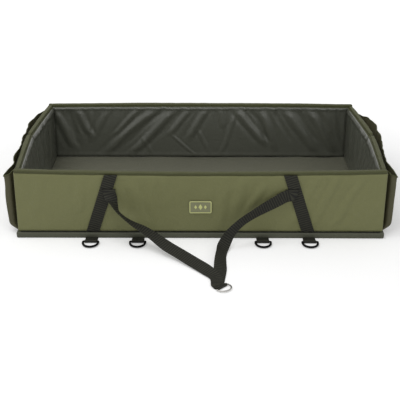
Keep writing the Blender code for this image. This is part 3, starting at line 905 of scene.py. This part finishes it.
def make_base():
    """Lower tray, foam and the domed floor pad."""
    sizes = cloth_sizes()
    low, high = BASE_LOW, Vector((BASE_HIGH.x, BASE_HIGH.y, WALL_FOOT - FOLD_GAP))
    seam = high.z - BASE_SEAM_DROP
    cell = sizes.cell * 1.5
    cuts = []
    for start, end in ((low.x, high.x), (low.y, high.y)):
        cuts.append(steps_between(start + BASE_RADIUS, end - BASE_RADIUS, cell)[1:-1])
    cuts.append([seam, (low.z + seam) / 2])
    block = soft_block(low, high, BASE_RADIUS, cuts)
    pad_x = MAT_LENGTH / 2 - WALL_THICKNESS - PAD_MARGIN
    pad_y = MAT_DEPTH / 2 - WALL_THICKNESS - PAD_MARGIN

    def depth(place, normal):
        if normal.z > 0.5:
            swell = arch(place.x / pad_x, 0.36) * arch(place.y / pad_y, 0.28)
            inside = near(max(abs(place.x) - pad_x, abs(place.y) - pad_y, 0), 0.004)
            edge = near(pad_x - abs(place.x), 0.06) + near(pad_y - abs(place.y), 0.06)
            gather = 0.0021 * edge * wave(place.x * 24, place.y * 24, 2.5)
            broad = 0.0030 * wave(place.x * 7 - place.y * 8, place.y * 10, 7.7)
            return (sizes.floor_crown * swell + (gather + broad) * (swell > 0)) * inside
        if normal.z < -0.5:
            return 0.0
        along = place.x if abs(normal.y) > abs(normal.x) else place.y
        return 0.0012 * wave(along * 7, place.z * 30, 1.5)

    push(block, depth)
    hidden = WALL_THICKNESS / 2

    def on_top(centre):
        inside_x = abs(centre.x) < MAT_LENGTH / 2 - hidden
        inside_y = abs(centre.y) < MAT_DEPTH / 2 - hidden
        return centre.z > seam and inside_x and inside_y

    kinds = sort_faces(block, on_top)
    padded_cloth(
        "floor_pad", block, kinds[True], "floor_pad", "base", "lining_cloth", "floor_lining"
    )
    padded_cloth("base_tray", block, kinds[False], "base", "base", "cover_cloth", "base_cover")
    block.free()
    inset = Vector((BASE_SKIN, BASE_SKIN, BASE_SKIN))
    foam_slab("base", low + inset, high - inset, 0.003, [[0], [0], []])


def face_outward(bm):
    """Turns an open sheet's faces so that they look away from the wall, and maps it."""
    bmesh.ops.recalc_face_normals(bm, faces=bm.faces)
    bm.normal_update()
    if sum(face.normal.y * face.calc_area() for face in bm.faces) > 0:
        bmesh.ops.reverse_faces(bm, faces=bm.faces)
    map_cloth(bm)


def make_fold_tape(side):
    """Near-black cloth between the base's edge and a long wall's foot, tucked into the
    fold as it lies at rest. Its near-black colour is painted shade in the fold."""
    reach = MAT_LENGTH / 2 - FOLD_TAPE_END
    shares = smooth_route(FOLD_TAPE_SHARES, 3)
    bm, points = grid(FOLD_TAPE_CELLS, len(shares) - 1)
    for vert, _, row in points:
        out, up = shares[row] * FOLD_TAPE_DEPTH
        vert.co = (vert.co.x * reach, -MAT_DEPTH / 2 - out, WALL_FOOT + up)
    face_outward(bm)
    turn = Matrix.Rotation(TURNS[side], 4, "Z")
    piece = add_piece(side + "_fold_sheet_painted_shade", bm, "fold_cloth_painted_shade", turn)
    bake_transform(piece)


# Pockets
POCKET_HANG = 0.0115
POCKET_MOUTH_DROP = 0.014
POCKET_CELLS = 76
POCKET_ROWS = 22
HEM_RADIUS = 0.0017
# The gusset's fold: how far in from the pocket's end, and how far out, as shares of the
# pocket's depth.
GUSSET_SHARES = [
    (0.00, 0.00),
    (0.60, 0.05),
    (0.90, 0.20),
    (0.55, 0.33),
    (0.08, 0.40),
    (0.01, 0.60),
    (0.00, 0.82),
]


def pocket_bulge(share, side):
    """The back part of the mouth, where it stands higher and further out."""
    if side == "left":
        return 0.80 * near(share + 0.62, 0.55)
    return near(share - 0.46, 0.80)


def pocket_flare(share, side):
    """How far the mouth stands out along the wall, from -1 to 1, as a share. It gapes
    at the front end, bulges in its back third and lies nearer to the wall between."""
    front = share if side == "left" else -share
    gape = near(front - 1, 0.34)
    swing = 0.10 * wave(share * 3.1, 0, 8.8) * (1 - gape)
    return 0.50 + 0.50 * gape + 0.48 * pocket_bulge(share, side) + swing


def pocket_depth(rise):
    """The pocket's depth at a share of its height: it bellies out close over its foot."""
    foot, belly, mouth = 0.0078, 0.032, 0.036
    if rise < 0.16:
        return foot + (belly - foot) * math.sin(rise / 0.16 * math.pi / 2)
    return belly + (mouth - belly) * (rise - 0.16) / 0.84


def make_pocket(side):
    """The pocket's cloth, from gusset to gusset, and the hem round its mouth."""
    reach = (POCKET_HIGH.y - POCKET_LOW.y) / 2
    foot = POCKET_LOW.z - POCKET_HANG - WALL_FOOT
    top = POCKET_HIGH.z - WALL_FOOT
    face = [(1 - 2 * i / POCKET_CELLS, None, 1.0) for i in range(POCKET_CELLS + 1)]
    near_gusset = [(1, inward, out) for inward, out in GUSSET_SHARES]
    far_gusset = [(-1, inward, out) for inward, out in reversed(GUSSET_SHARES)]
    across = near_gusset + face + far_gusset
    seed = TURNS[side] + 23
    bm, points = grid(len(across) - 1, POCKET_ROWS)
    for vert, column, row in points:
        share, inward, out = across[column]
        rise = row / POCKET_ROWS
        mouth = top - POCKET_MOUTH_DROP - 0.004 * near(abs(share) - 1, 0.3)
        mouth += 0.007 * wave(share * 4.3, 1.0, seed) + 0.013 * pocket_bulge(share, side)
        flare = 1 + (pocket_flare(share, side) - 1) * rise**1.3
        sag = 0.0042 * wave(share * 6.5, rise * 2.2, seed) * rise
        sag += 0.0015 * wave(share * 16, rise * 6, seed + 1)
        depth = max(0.004, pocket_depth(rise) * flare + sag)
        depth *= min(1.0, 0.3 + rise * POCKET_ROWS / 2)
        width = reach + 0.0005 if inward is None else reach - inward * depth * 0.8
        height = foot + (mouth - foot) * rise + (1 - out) * 0.012 * rise
        vert.co = (share * width, -depth * out - 0.0004, height)
    lean_out(bm, side)
    face_outward(bm)
    place = side_place(side)
    route = [place @ vert.co for vert, column, row in points if row == POCKET_ROWS]
    piece = add_piece(side + "_pocket_cloth", bm, "pocket", place)
    thicken(piece, cloth_sizes().thickness)
    smooth = piece.modifiers.new("smooth", "SUBSURF")
    smooth.levels = smooth.render_levels = 1
    dress(piece, "base", "cover_cloth", side + "_pocket")
    heights = [vert.co.z for vert in piece.data.vertices]
    height = max(heights) - min(heights)
    soften_on_fold(piece, side)
    hem = tube(side + "_pocket_hem", route, [HEM_RADIUS] * len(route), "band")
    dress(hem, "base", "band_cloth")
    soften_on_fold(hem, side)


# Webbing
STRAP_PLY = 0.0018
TAB_PLY = 0.0016
SLACK = 0.0003
STRAP_FOOT = 0.0030
STRAP_TOP = SEAM_HEIGHT - 0.0004
ACROSS_SHARES = (-1.0, -0.93, -0.6, -0.2, 0.2, 0.6, 0.93, 1.0)


def smooth_route(rows, steps):
    """Points on a smooth curve through the rows, each a vector of any length."""
    rows = [Vector(row) for row in rows]
    route = []
    for i in range(len(rows) - 1):
        before = rows[max(i - 1, 0)]
        here, there = rows[i], rows[i + 1]
        after = rows[min(i + 2, len(rows) - 1)]
        for step in range(steps):
            t = step / steps
            straight = 2 * here + (there - before) * t
            square = (2 * before - 5 * here + 4 * there - after) * t**2
            cube = (3 * here - before - 3 * there + after) * t**3
            route.append((straight + square + cube) / 2)
    return route + [rows[-1]]


def evenly(centres, sideways, spacing):
    """The same route with its points evenly spaced."""
    lengths = [0.0]
    for first, second in zip(centres, centres[1:]):
        lengths.append(lengths[-1] + (second - first).length)
    count = max(2, round(lengths[-1] / spacing))
    spots, sides, i = [], [], 0
    for step in range(count + 1):
        wanted = lengths[-1] * step / count
        while i < len(lengths) - 2 and lengths[i + 1] < wanted:
            i += 1
        share = (wanted - lengths[i]) / max(lengths[i + 1] - lengths[i], 1e-9)
        spots.append(centres[i].lerp(centres[i + 1], share))
        sides.append(sideways[i].lerp(sideways[i + 1], share))
    return spots, sides, lengths[-1]


def web_mesh(centres, sideways, relief=1.0, calm=0.0):
    """Ribbed webbing along the centres; sideways gives the way its width points. The
    ribs have the share of their height given by relief, and none at the calm start."""
    sizes = web_sizes()
    spacing = sizes.rib_pitch / sizes.rows_per_rib
    spots, sides, length = evenly(centres, sideways, spacing)
    rows = len(spots) - 1
    bm, points = grid(len(ACROSS_SHARES) - 1, rows)
    flat = {}
    for vert, column, row in points:
        ahead = (spots[min(row + 1, rows)] - spots[max(row - 1, 0)]).normalized()
        side = (sides[row] - ahead * sides[row].dot(ahead)).normalized()
        along = length * row / rows
        share = ACROSS_SHARES[column]
        groove = abs(math.cos(math.pi * along / sizes.rib_pitch)) ** 4
        rib = 0.5 - groove if abs(share) < 0.9 else -0.1
        rib *= relief * (min(1.0, along / calm) if calm else 1.0)
        flat[vert] = (share * sizes.width / 2, along)
        rise = side.cross(ahead) * rib * sizes.rib_height
        vert.co = spots[row] + side * share * sizes.width / 2 + rise
    layer = bm.loops.layers.uv.new("cloth")
    for face in bm.faces:
        for loop in face.loops:
            loop[layer].uv = flat[loop.vert]
    return bm


def webbing(name, bm, place, body, node, thickness=None):
    piece = add_piece(name, bm, "webbing", place)
    thicken(piece, thickness or web_sizes().thickness, centred=True)
    dress(piece, body, "webbing", node)


def slanted_strap(end, word, kind, node, low, out):
    """A stretch of a slanted strap, from a height over the wall's foot up to the seam,
    cut level at both ends."""
    side = -1 if word == "left" else 1
    width = web_sizes().width
    height = STRAP_HIGH.z - STRAP_LOW.z
    reach = STRAP_HIGH.x - STRAP_LOW.x
    run = reach - width * math.hypot(reach - width, height) / height
    middle = (STRAP_LOW.x + STRAP_HIGH.x) / 2
    centres = []
    for level in steps_between(low - 0.008, STRAP_TOP + 0.008, 0.004):
        share = (level + WALL_FOOT - STRAP_LOW.z) / height - 0.5
        centres.append(Vector((side * (middle - run * share), -out, level)))
    bm = web_mesh(centres, [Vector((1, 0, 0))] * len(centres))
    slice_mesh(bm, (0, 0, low), (0, 0, -1), clear=True)
    slice_mesh(bm, (0, 0, STRAP_TOP), (0, 0, 1), clear=True)
    lean_out(bm, end)
    webbing(f"{end}_{kind}_{word}", bm, side_place(end), end + "_wall", f"{end}_{node}_{word}")


def make_straps(end):
    """The slanted straps, and the shorter upper ones over them."""
    out = STRAP_PLY / 2 + SLACK
    low = STUB_LOW.z - WALL_FOOT + 0.0006
    for word in ("left", "right"):
        slanted_strap(end, word, "slant", "strap", STRAP_FOOT, out)
        slanted_strap(end, word, "upper", "stub", low, out + STRAP_PLY + SLACK)


# Handles and rings
HANDLE_HALF_SPREAD = 0.2755
HANDLE_REACH = 0.300
HANDLE_HEM = 0.014
HANDLE_RING_TURN = math.radians(46)
LEG_STEPS = 12
LEG_CALM = 0.02
# Inside width, depth and wire of the rings, and how much thicker a D ring's bow is.
HANDLE_RING = (0.040, 0.024, 0.004)
D_RING = (0.040, 0.033, 0.0055)
D_RING_SWELL = 0.22
RING_CORNER = 0.003
RING_SIDES = 14
# Rows of thread across the hem at the ring: how far back, and half their length.
HEM_ROWS = (0.0085, 0.0120)
HEM_ROW_REACH = 0.0165
# The legs as seen from outside the wall. Each row gives the place as shares of the half
# spread, the reach and the pivot's height over the layer that the leg lies in, and then
# the way that its width points.
LEFT_LEG_SHARES = [
    (-0.976, 0.000, 1.000, 1.00, 0.00, 0.00),
    (-0.976, 0.001, 0.980, 1.00, 0.00, 0.00),
    (-0.976, 0.004, 0.940, 1.00, 0.00, 0.00),
    (-0.962, 0.014, 0.860, 1.00, 0.10, 0.00),
    (-0.930, 0.051, 0.764, 0.66, 0.60, -0.46),
    (-0.893, 0.099, 0.656, 0.27, 0.85, -0.46),
    (-0.823, 0.126, 0.545, 0.20, 0.90, -0.38),
    (-0.725, 0.153, 0.438, 0.29, 0.93, -0.20),
    (-0.601, 0.186, 0.341, 0.47, 0.88, 0.00),
    (-0.479, 0.249, 0.243, 0.62, 0.77, 0.12),
    (-0.355, 0.340, 0.156, 0.73, 0.62, 0.28),
    (-0.215, 0.445, 0.098, 0.78, 0.55, 0.29),
    (-0.077, 0.569, 0.059, 0.80, 0.51, 0.33),
    (0.053, 0.699, 0.037, 0.80, 0.51, 0.31),
    (0.155, 0.822, 0.008, 0.79, 0.62, 0.03),
    (0.169, 0.958, 0.000, 0.69, 0.72, 0.00),
]
RIGHT_LEG_SHARES = [
    (0.976, 0.000, 1.000, 1.00, 0.00, 0.00),
    (0.976, 0.001, 0.980, 1.00, 0.00, 0.00),
    (0.976, 0.004, 0.950, 1.00, 0.00, 0.00),
    (0.962, 0.012, 0.900, 0.96, 0.00, -0.29),
    (0.897, 0.016, 0.863, 0.70, 0.09, -0.70),
    (0.827, 0.030, 0.801, 0.48, 0.10, -0.87),
    (0.737, 0.050, 0.726, 0.44, 0.22, -0.87),
    (0.587, 0.088, 0.601, 0.44, 0.45, -0.78),
    (0.436, 0.125, 0.446, 0.54, 0.54, -0.65),
    (0.324, 0.166, 0.270, 0.78, 0.45, -0.44),
    (0.262, 0.219, 0.120, 0.90, 0.21, -0.35),
    (0.232, 0.292, 0.072, 0.84, 0.08, -0.53),
    (0.218, 0.399, 0.079, 0.77, 0.00, -0.64),
    (0.206, 0.530, 0.048, 0.92, 0.00, -0.40),
    (0.199, 0.682, 0.005, 1.00, 0.10, 0.00),
    (0.172, 0.885, 0.000, 0.99, 0.10, 0.00),
]


def joint_place(name):
    return Vector(JOINTS[name])


def leg_route(shares, layer, pivot_height):
    """Centres and width directions of a leg, from the handle's pivot."""
    drop = pivot_height - layer
    rows = []
    for x, y, z, *way in shares:
        rows.append((x * HANDLE_HALF_SPREAD, -y * HANDLE_REACH, (z - 1) * drop, *way))
    route = smooth_route(rows, LEG_STEPS)
    return [Vector(row[:3]) for row in route], [Vector(row[3:]) for row in route]


def eye_route(wire, thickness, back_reach):
    """Side view of a strap over a bar at the origin, round it and back under itself.
    Returns (forward, up) pairs, forward being away from the hem."""
    clearance = 0.00035
    radius = wire / 2 + clearance + thickness / 2
    over = -radius + thickness + 0.0003
    pinch = -3 * radius
    bearing = math.atan2(over, pinch)
    opening = math.acos(radius / math.hypot(over, pinch))
    start = bearing % (2 * math.pi) - opening
    route = [(-back_reach, over), (pinch, over)]
    for step in range(17):
        angle = start + (-math.pi / 2 - start) * step / 16
        route.append((radius * math.cos(angle), radius * math.sin(angle)))
    route.append((-back_reach, -radius))
    return route


def make_handle(end):
    """Two legs, of which the left one goes round the ring's bar, and the ring."""
    pivot = joint_place(end + "_handle_lift")
    around = Matrix.Rotation(TURNS[end], 4, "Z")
    place = around @ Matrix.Translation((0, -abs(pivot.y), pivot.z))
    body = end + "_handle"
    lower = STRAP_PLY / 2 + 0.0006
    upper = lower + STRAP_PLY + SLACK
    route = leg_route(RIGHT_LEG_SHARES, lower, pivot.z)
    right = web_mesh(*route, calm=LEG_CALM)
    webbing(end + "_leg_right", right, place, body, end + "_handle_right")

    centres, sideways = leg_route(LEFT_LEG_SHARES, upper, pivot.z)
    ring = joint_place(end + "_handle_ring_swing")
    turn = HANDLE_RING_TURN
    ahead = Vector((math.sin(turn), -math.cos(turn), 0))
    bar = centres[-1] + ahead * (HANDLE_HEM + STRAP_PLY)
    bar.z = ring.z - pivot.z
    for forward, up in eye_route(HANDLE_RING[2], STRAP_PLY, HANDLE_HEM):
        centres.append(bar + ahead * forward + Vector((0, 0, up)))
        sideways.append(Vector((math.cos(turn), math.sin(turn), 0)))
    left = web_mesh(centres, sideways, calm=LEG_CALM)
    webbing(end + "_leg_left", left, place, body, end + "_handle_left")

    spot = Matrix.Translation(ring) @ Matrix.Rotation(turn + TURNS[end], 4, "Z")
    wire = d_ring(end + "_centre_ring", *HANDLE_RING, spot, "steel")
    dress(wire, end + "_handle_ring", "ring_steel", end + "_handle_ring")
    hem = place @ Matrix.Translation(bar) @ Matrix.Rotation(turn, 4, "Z")
    rows = []
    for back in HEM_ROWS:
        top = STRAP_PLY * 1.5 - 0.0017
        ends = [hem @ Vector((x, back, top)) for x in (-HEM_ROW_REACH, HEM_ROW_REACH)]
        rows += stitch_row(*ends, Vector((0, 0, 1)))
    stitches(end + "_handle_stitching", rows, body, "webbing")


def d_ring(name, inside_width, depth, wire, place, finish, swell=0.0):
    """A wire ring with a straight bar along X at the origin and its bow towards -Y.
    Swell is how much thicker the bow is than the bar, as a share."""
    half = (inside_width + wire) / 2
    bow = depth + wire / 2 - RING_CORNER
    start = half - RING_CORNER
    right, arc = [], []
    for step in range(7):
        angle = math.pi / 2 * step / 6
        x, y = start + RING_CORNER * math.sin(angle), RING_CORNER * math.cos(angle) - RING_CORNER
        right.append((x, y))
    for step in range(1, 48):
        angle = math.pi * step / 48
        arc.append((half * math.cos(angle), -RING_CORNER - bow * math.sin(angle) ** 0.8))
    left = [(-x, y) for x, y in reversed(right)]
    bar = [(-start + start * 2 * i / 8, 0) for i in range(1, 8)]
    points = [place @ Vector((x, y, 0)) for x, y in right + arc + left + bar]
    rise = [swell * step / 6 for step in range(7)]
    shares = rise + [swell] * len(arc) + rise[::-1] + [0.0] * len(bar)
    radii = [wire / 2 * (1 + share) for share in shares]
    return tube(name, points, radii, finish, closed=True, sides=RING_SIDES)


def make_tab_and_ring(end, number):
    """A D ring, and the webbing tab that goes round its bar."""
    name = f"{end}_{number}"
    bar = joint_place(name + "_ring_swing")
    place = Matrix.Translation(bar) @ Matrix.Rotation(TURNS[end], 4, "Z")
    wire = d_ring(name + "_d_ring", *D_RING, place, "ring", D_RING_SWELL)
    dress(wire, name + "_ring", "ring_black", name + "_ring")
    route = eye_route(D_RING[2], TAB_PLY, abs(bar.y) - BASE_HIGH.y - SLACK)
    centres = [Vector((0, -forward, up)) for forward, up in route]
    loop = web_mesh(centres, [Vector((1, 0, 0))] * len(centres), 0.25)
    webbing(name + "_loop", loop, place, "base", name + "_tab", TAB_PLY * 0.85)


# Badge and stitching
BADGE_THICKNESS = 0.0010
BADGE_CORNER = 0.006
BADGE_RIM = (0.0013, 0.0026)
BADGE_RELIEF = 0.0006
SEAM_ROW = 0.03
SEAM_END = 0.008
THREAD_HEIGHT = 0.0042
# The badge's diamonds: their place along it and their half height.
BADGE_MARKS = [(-0.0145, 0.0075), (0, 0.0105), (0.0145, 0.0075)]


def make_badge():
    """A moulded badge with a raised border and three plain diamonds."""
    size = BADGE_HIGH - BADGE_LOW
    thick = BADGE_THICKNESS
    bm = bmesh.new()
    bmesh.ops.create_cube(bm, size=1, matrix=Matrix.Diagonal((size.x, thick, size.z, 1)))
    spans = [(edge, edge.verts[0].co - edge.verts[1].co) for edge in bm.edges]
    round_edges(bm, [edge for edge, span in spans if abs(span.y) > thick / 2], BADGE_CORNER, 6)
    bm.normal_update()
    front = [face for face in bm.faces if face.normal.y < -0.9]
    bmesh.ops.inset_region(bm, faces=front, thickness=BADGE_RIM[0], depth=0)
    front = [max((f for f in bm.faces if f.normal.y < -0.9), key=lambda f: f.calc_area())]
    rim = bmesh.ops.inset_region(bm, faces=front, thickness=BADGE_RIM[1], depth=0)["faces"]
    raised = bmesh.ops.extrude_face_region(bm, geom=rim)
    for item in raised["geom"]:
        if isinstance(item, bmesh.types.BMVert):
            item.co.y -= BADGE_RELIEF
        if isinstance(item, bmesh.types.BMFace):
            item.material_index = 1
    bmesh.ops.delete(bm, geom=rim, context="FACES")
    turned = Matrix.Rotation(math.pi / 2, 4, "X")
    for x, reach in BADGE_MARKS:
        shape = Matrix.Diagonal((reach * 0.62, BADGE_RELIEF, reach, 1))
        place = Matrix.Translation((x, -thick / 2, 0)) @ shape @ turned
        made = bmesh.ops.create_cone(
            bm, cap_ends=True, segments=4, radius1=1, radius2=0.82, depth=2, matrix=place
        )
        for vert in made["verts"]:
            for face in vert.link_faces:
                face.material_index = 1
    bmesh.ops.recalc_face_normals(bm, faces=bm.faces)
    map_cloth(bm)
    tilt = Matrix.Rotation(math.atan2(LONG_BOW, WALL_HEIGHT), 4, "X")
    place = Matrix.Translation((BADGE_LOW + BADGE_HIGH) / 2) @ tilt
    piece = add_piece("badge_plate", bm, "badge", place, smooth=False)
    piece.data.materials.append(material("badge_line"))
    soft = piece.modifiers.new("soft_edges", "BEVEL")
    soft.width = 0.00015
    soft.segments = 2
    dress(piece, "front_wall", "badge", "badge")


def make_stitching():
    """Rows of thread along the band's seams, inside and out."""
    for side in TURNS:
        half = wall_length(side) / 2
        place = side_place(side)
        spots = steps_between(SEAM_END - half, half - SEAM_END, SEAM_ROW)
        rows = []
        for out, y in ((-1, -0.0002), (1, WALL_THICKNESS + 0.0002)):
            seam = [Vector((x, y - out * 0.0011, SEAM_HEIGHT + THREAD_HEIGHT)) for x in spots]
            for spot in seam:
                spot.y -= lean(side, spot.x, spot.z)
            seam = [place @ spot for spot in seam]
            outward = place.to_3x3() @ Vector((0, out, 0))
            for start, end in zip(seam, seam[1:]):
                rows += stitch_row(start, end, outward)
        soften_on_fold(stitches(side + "_stitching", rows, side_body(side), "band_cloth"), side)


# Stage
WHITE = (1, 1, 1, 1)
FLOOR_REACH = 6


def area_light(name, place, target, size, power):
    light = bpy.data.lights.new(name, "AREA")
    light.shape = "RECTANGLE"
    light.size, light.size_y = size
    light.energy = power
    lamp = add_object(name, light)
    lamp.location = place
    lamp.rotation_euler = (Vector(target) - Vector(place)).to_track_quat("-Z", "Y").to_euler()


def seen_or_lit(wire, lit, seen):
    """One shader for the light that falls on the mat, and another where the camera or a
    glossy ray looks."""
    path = wire.node("LightPath").outputs
    rays = wire.math("MAXIMUM", path["Is Camera Ray"], path["Is Glossy Ray"])
    return wire.feed_all(wire.node("MixShader"), rays, lit, seen)


def floor_material():
    """A pale floor that takes the mat's shadow and looks white to the camera."""
    made, wire = new_material("pale_floor")
    made.node_tree.nodes.clear()
    matt = wire.node("BsdfDiffuse", Color=(0.80, 0.80, 0.80, 1)).outputs[0]
    reach = wire.node("VectorMath", {"operation": "LENGTH"})
    wire.feed(reach.inputs[0], wire.place())
    far = wire.times(wire.minus(reach.outputs["Value"], 0.85), 0.8, clamp=True)
    power = wire.plus(wire.times(far, 0.55), 0.26)
    glow = wire.node("Emission", Color=WHITE, Strength=power).outputs[0]
    dark = wire.node("Emission", Color=(0, 0, 0, 1), Strength=0.0).outputs[0]
    both = wire.feed_all(wire.node("AddShader"), matt, seen_or_lit(wire, dark, glow))
    wire.node("OutputMaterial", Surface=both)
    return made


def make_world(power):
    world = bpy.data.worlds.new("studio")
    world.use_nodes = True
    world.node_tree.nodes.clear()
    wire = Wiring(world.node_tree)
    sky = wire.node("Background", Color=WHITE, Strength=power).outputs[0]
    white = wire.node("Background", Color=WHITE, Strength=1.0).outputs[0]
    wire.node("OutputWorld", Surface=seen_or_lit(wire, sky, white))
    bpy.context.scene.world = world


def make_stage():
    scene = bpy.context.scene
    sizes = scene.mat_stage
    scene.view_settings.view_transform = "Standard"
    bm = bmesh.new()
    bmesh.ops.create_grid(bm, x_segments=1, y_segments=1, size=FLOOR_REACH)
    mesh = bpy.data.meshes.new("studio_floor")
    bm.to_mesh(mesh)
    bm.free()
    mesh.materials.append(floor_material())
    add_object("studio_floor", mesh)
    make_world(sizes.sky)
    area_light("key_light", (-0.9, -0.9, 2.6), (0, 0, 0), (2.4, 1.6), sizes.key_power)
    area_light("fill_light", (0.7, -3.0, 1.2), (0, 0, 0.1), (2.6, 1.6), sizes.fill_power)
    data = bpy.data.cameras.new("camera")
    data.lens = sizes.focal
    data.sensor_width = 36
    camera = add_object("camera", data)
    camera.location = sizes.camera_place
    camera.rotation_euler = sizes.camera_turn
    scene.camera = camera


# Operators
class MAT_OT_base(bpy.types.Operator):
    """Make the base: tray, foam and floor pad"""

    bl_idname = "unhooking_mat.base"
    bl_label = "Base"

    def execute(self, context):
        make_base()
        return {"FINISHED"}


class MAT_OT_walls(bpy.types.Operator):
    """Make the four padded walls and the cloth at their folds"""

    bl_idname = "unhooking_mat.walls"
    bl_label = "Padded walls"

    def execute(self, context):
        for side in TURNS:
            make_wall(side)
        for side in LONG_SIDES:
            make_fold_tape(side)
        return {"FINISHED"}


class MAT_OT_pockets(bpy.types.Operator):
    """Make the pockets on the end walls"""

    bl_idname = "unhooking_mat.pockets"
    bl_label = "End pockets"

    def execute(self, context):
        for side in END_SIDES:
            make_pocket(side)
        return {"FINISHED"}


class MAT_OT_straps(bpy.types.Operator):
    """Make the slanted straps on the long walls"""

    bl_idname = "unhooking_mat.straps"
    bl_label = "Slanted straps"

    def execute(self, context):
        for end in LONG_SIDES:
            make_straps(end)
        return {"FINISHED"}


class MAT_OT_handles(bpy.types.Operator):
    """Make the carry handles and their rings"""

    bl_idname = "unhooking_mat.handles"
    bl_label = "Carry handles"

    def execute(self, context):
        for end in LONG_SIDES:
            make_handle(end)
        return {"FINISHED"}


class MAT_OT_rings(bpy.types.Operator):
    """Make the D rings and their tabs"""

    bl_idname = "unhooking_mat.rings"
    bl_label = "D rings"

    def execute(self, context):
        for end in LONG_SIDES:
            for number in range(1, 5):
                make_tab_and_ring(end, number)
        return {"FINISHED"}


class MAT_OT_badge(bpy.types.Operator):
    """Make the badge on the front wall"""

    bl_idname = "unhooking_mat.badge"
    bl_label = "Badge"

    def execute(self, context):
        make_badge()
        return {"FINISHED"}


class MAT_OT_stitching(bpy.types.Operator):
    """Sew the bands along the walls' top edges"""

    bl_idname = "unhooking_mat.stitching"
    bl_label = "Stitching"

    def execute(self, context):
        make_stitching()
        return {"FINISHED"}


class MAT_OT_stage(bpy.types.Operator):
    """Set the floor, the lights and the camera"""

    bl_idname = "unhooking_mat.stage"
    bl_label = "Stage"

    def execute(self, context):
        make_stage()
        return {"FINISHED"}


OPERATORS = (
    MAT_OT_base,
    MAT_OT_walls,
    MAT_OT_pockets,
    MAT_OT_straps,
    MAT_OT_handles,
    MAT_OT_rings,
    MAT_OT_badge,
    MAT_OT_stitching,
    MAT_OT_stage,
)
GROUPS_OF_SIZES = {
    "mat_cloth": ClothSizes,
    "mat_webbing": WebbingSizes,
    "mat_colours": MatColours,
    "mat_stage": StageSizes,
}


class MAT_PT_panel(bpy.types.Panel):
    """The mat's pieces, in the order in which they are made"""

    bl_label = "Unhooking Mat"
    bl_idname = "MAT_PT_panel"
    bl_space_type = "VIEW_3D"
    bl_region_type = "UI"
    bl_category = "Unhooking Mat"

    def draw(self, context):
        for operator in OPERATORS:
            self.layout.operator(operator.bl_idname)


def register():
    for group in GROUPS_OF_SIZES.values():
        bpy.utils.register_class(group)
    for name, group in GROUPS_OF_SIZES.items():
        setattr(bpy.types.Scene, name, PointerProperty(type=group))
    for operator in OPERATORS:
        bpy.utils.register_class(operator)
    bpy.utils.register_class(MAT_PT_panel)


def unregister():
    bpy.utils.unregister_class(MAT_PT_panel)
    for operator in reversed(OPERATORS):
        bpy.utils.unregister_class(operator)
    for name, group in GROUPS_OF_SIZES.items():
        delattr(bpy.types.Scene, name)
        bpy.utils.unregister_class(group)


def main():
    register()
    bpy.ops.unhooking_mat.base()
    bpy.ops.unhooking_mat.walls()
    bpy.ops.unhooking_mat.pockets()
    bpy.ops.unhooking_mat.straps()
    bpy.ops.unhooking_mat.handles()
    bpy.ops.unhooking_mat.rings()
    bpy.ops.unhooking_mat.badge()
    bpy.ops.unhooking_mat.stitching()
    bpy.ops.unhooking_mat.stage()


if __name__ == "__main__":
    main()
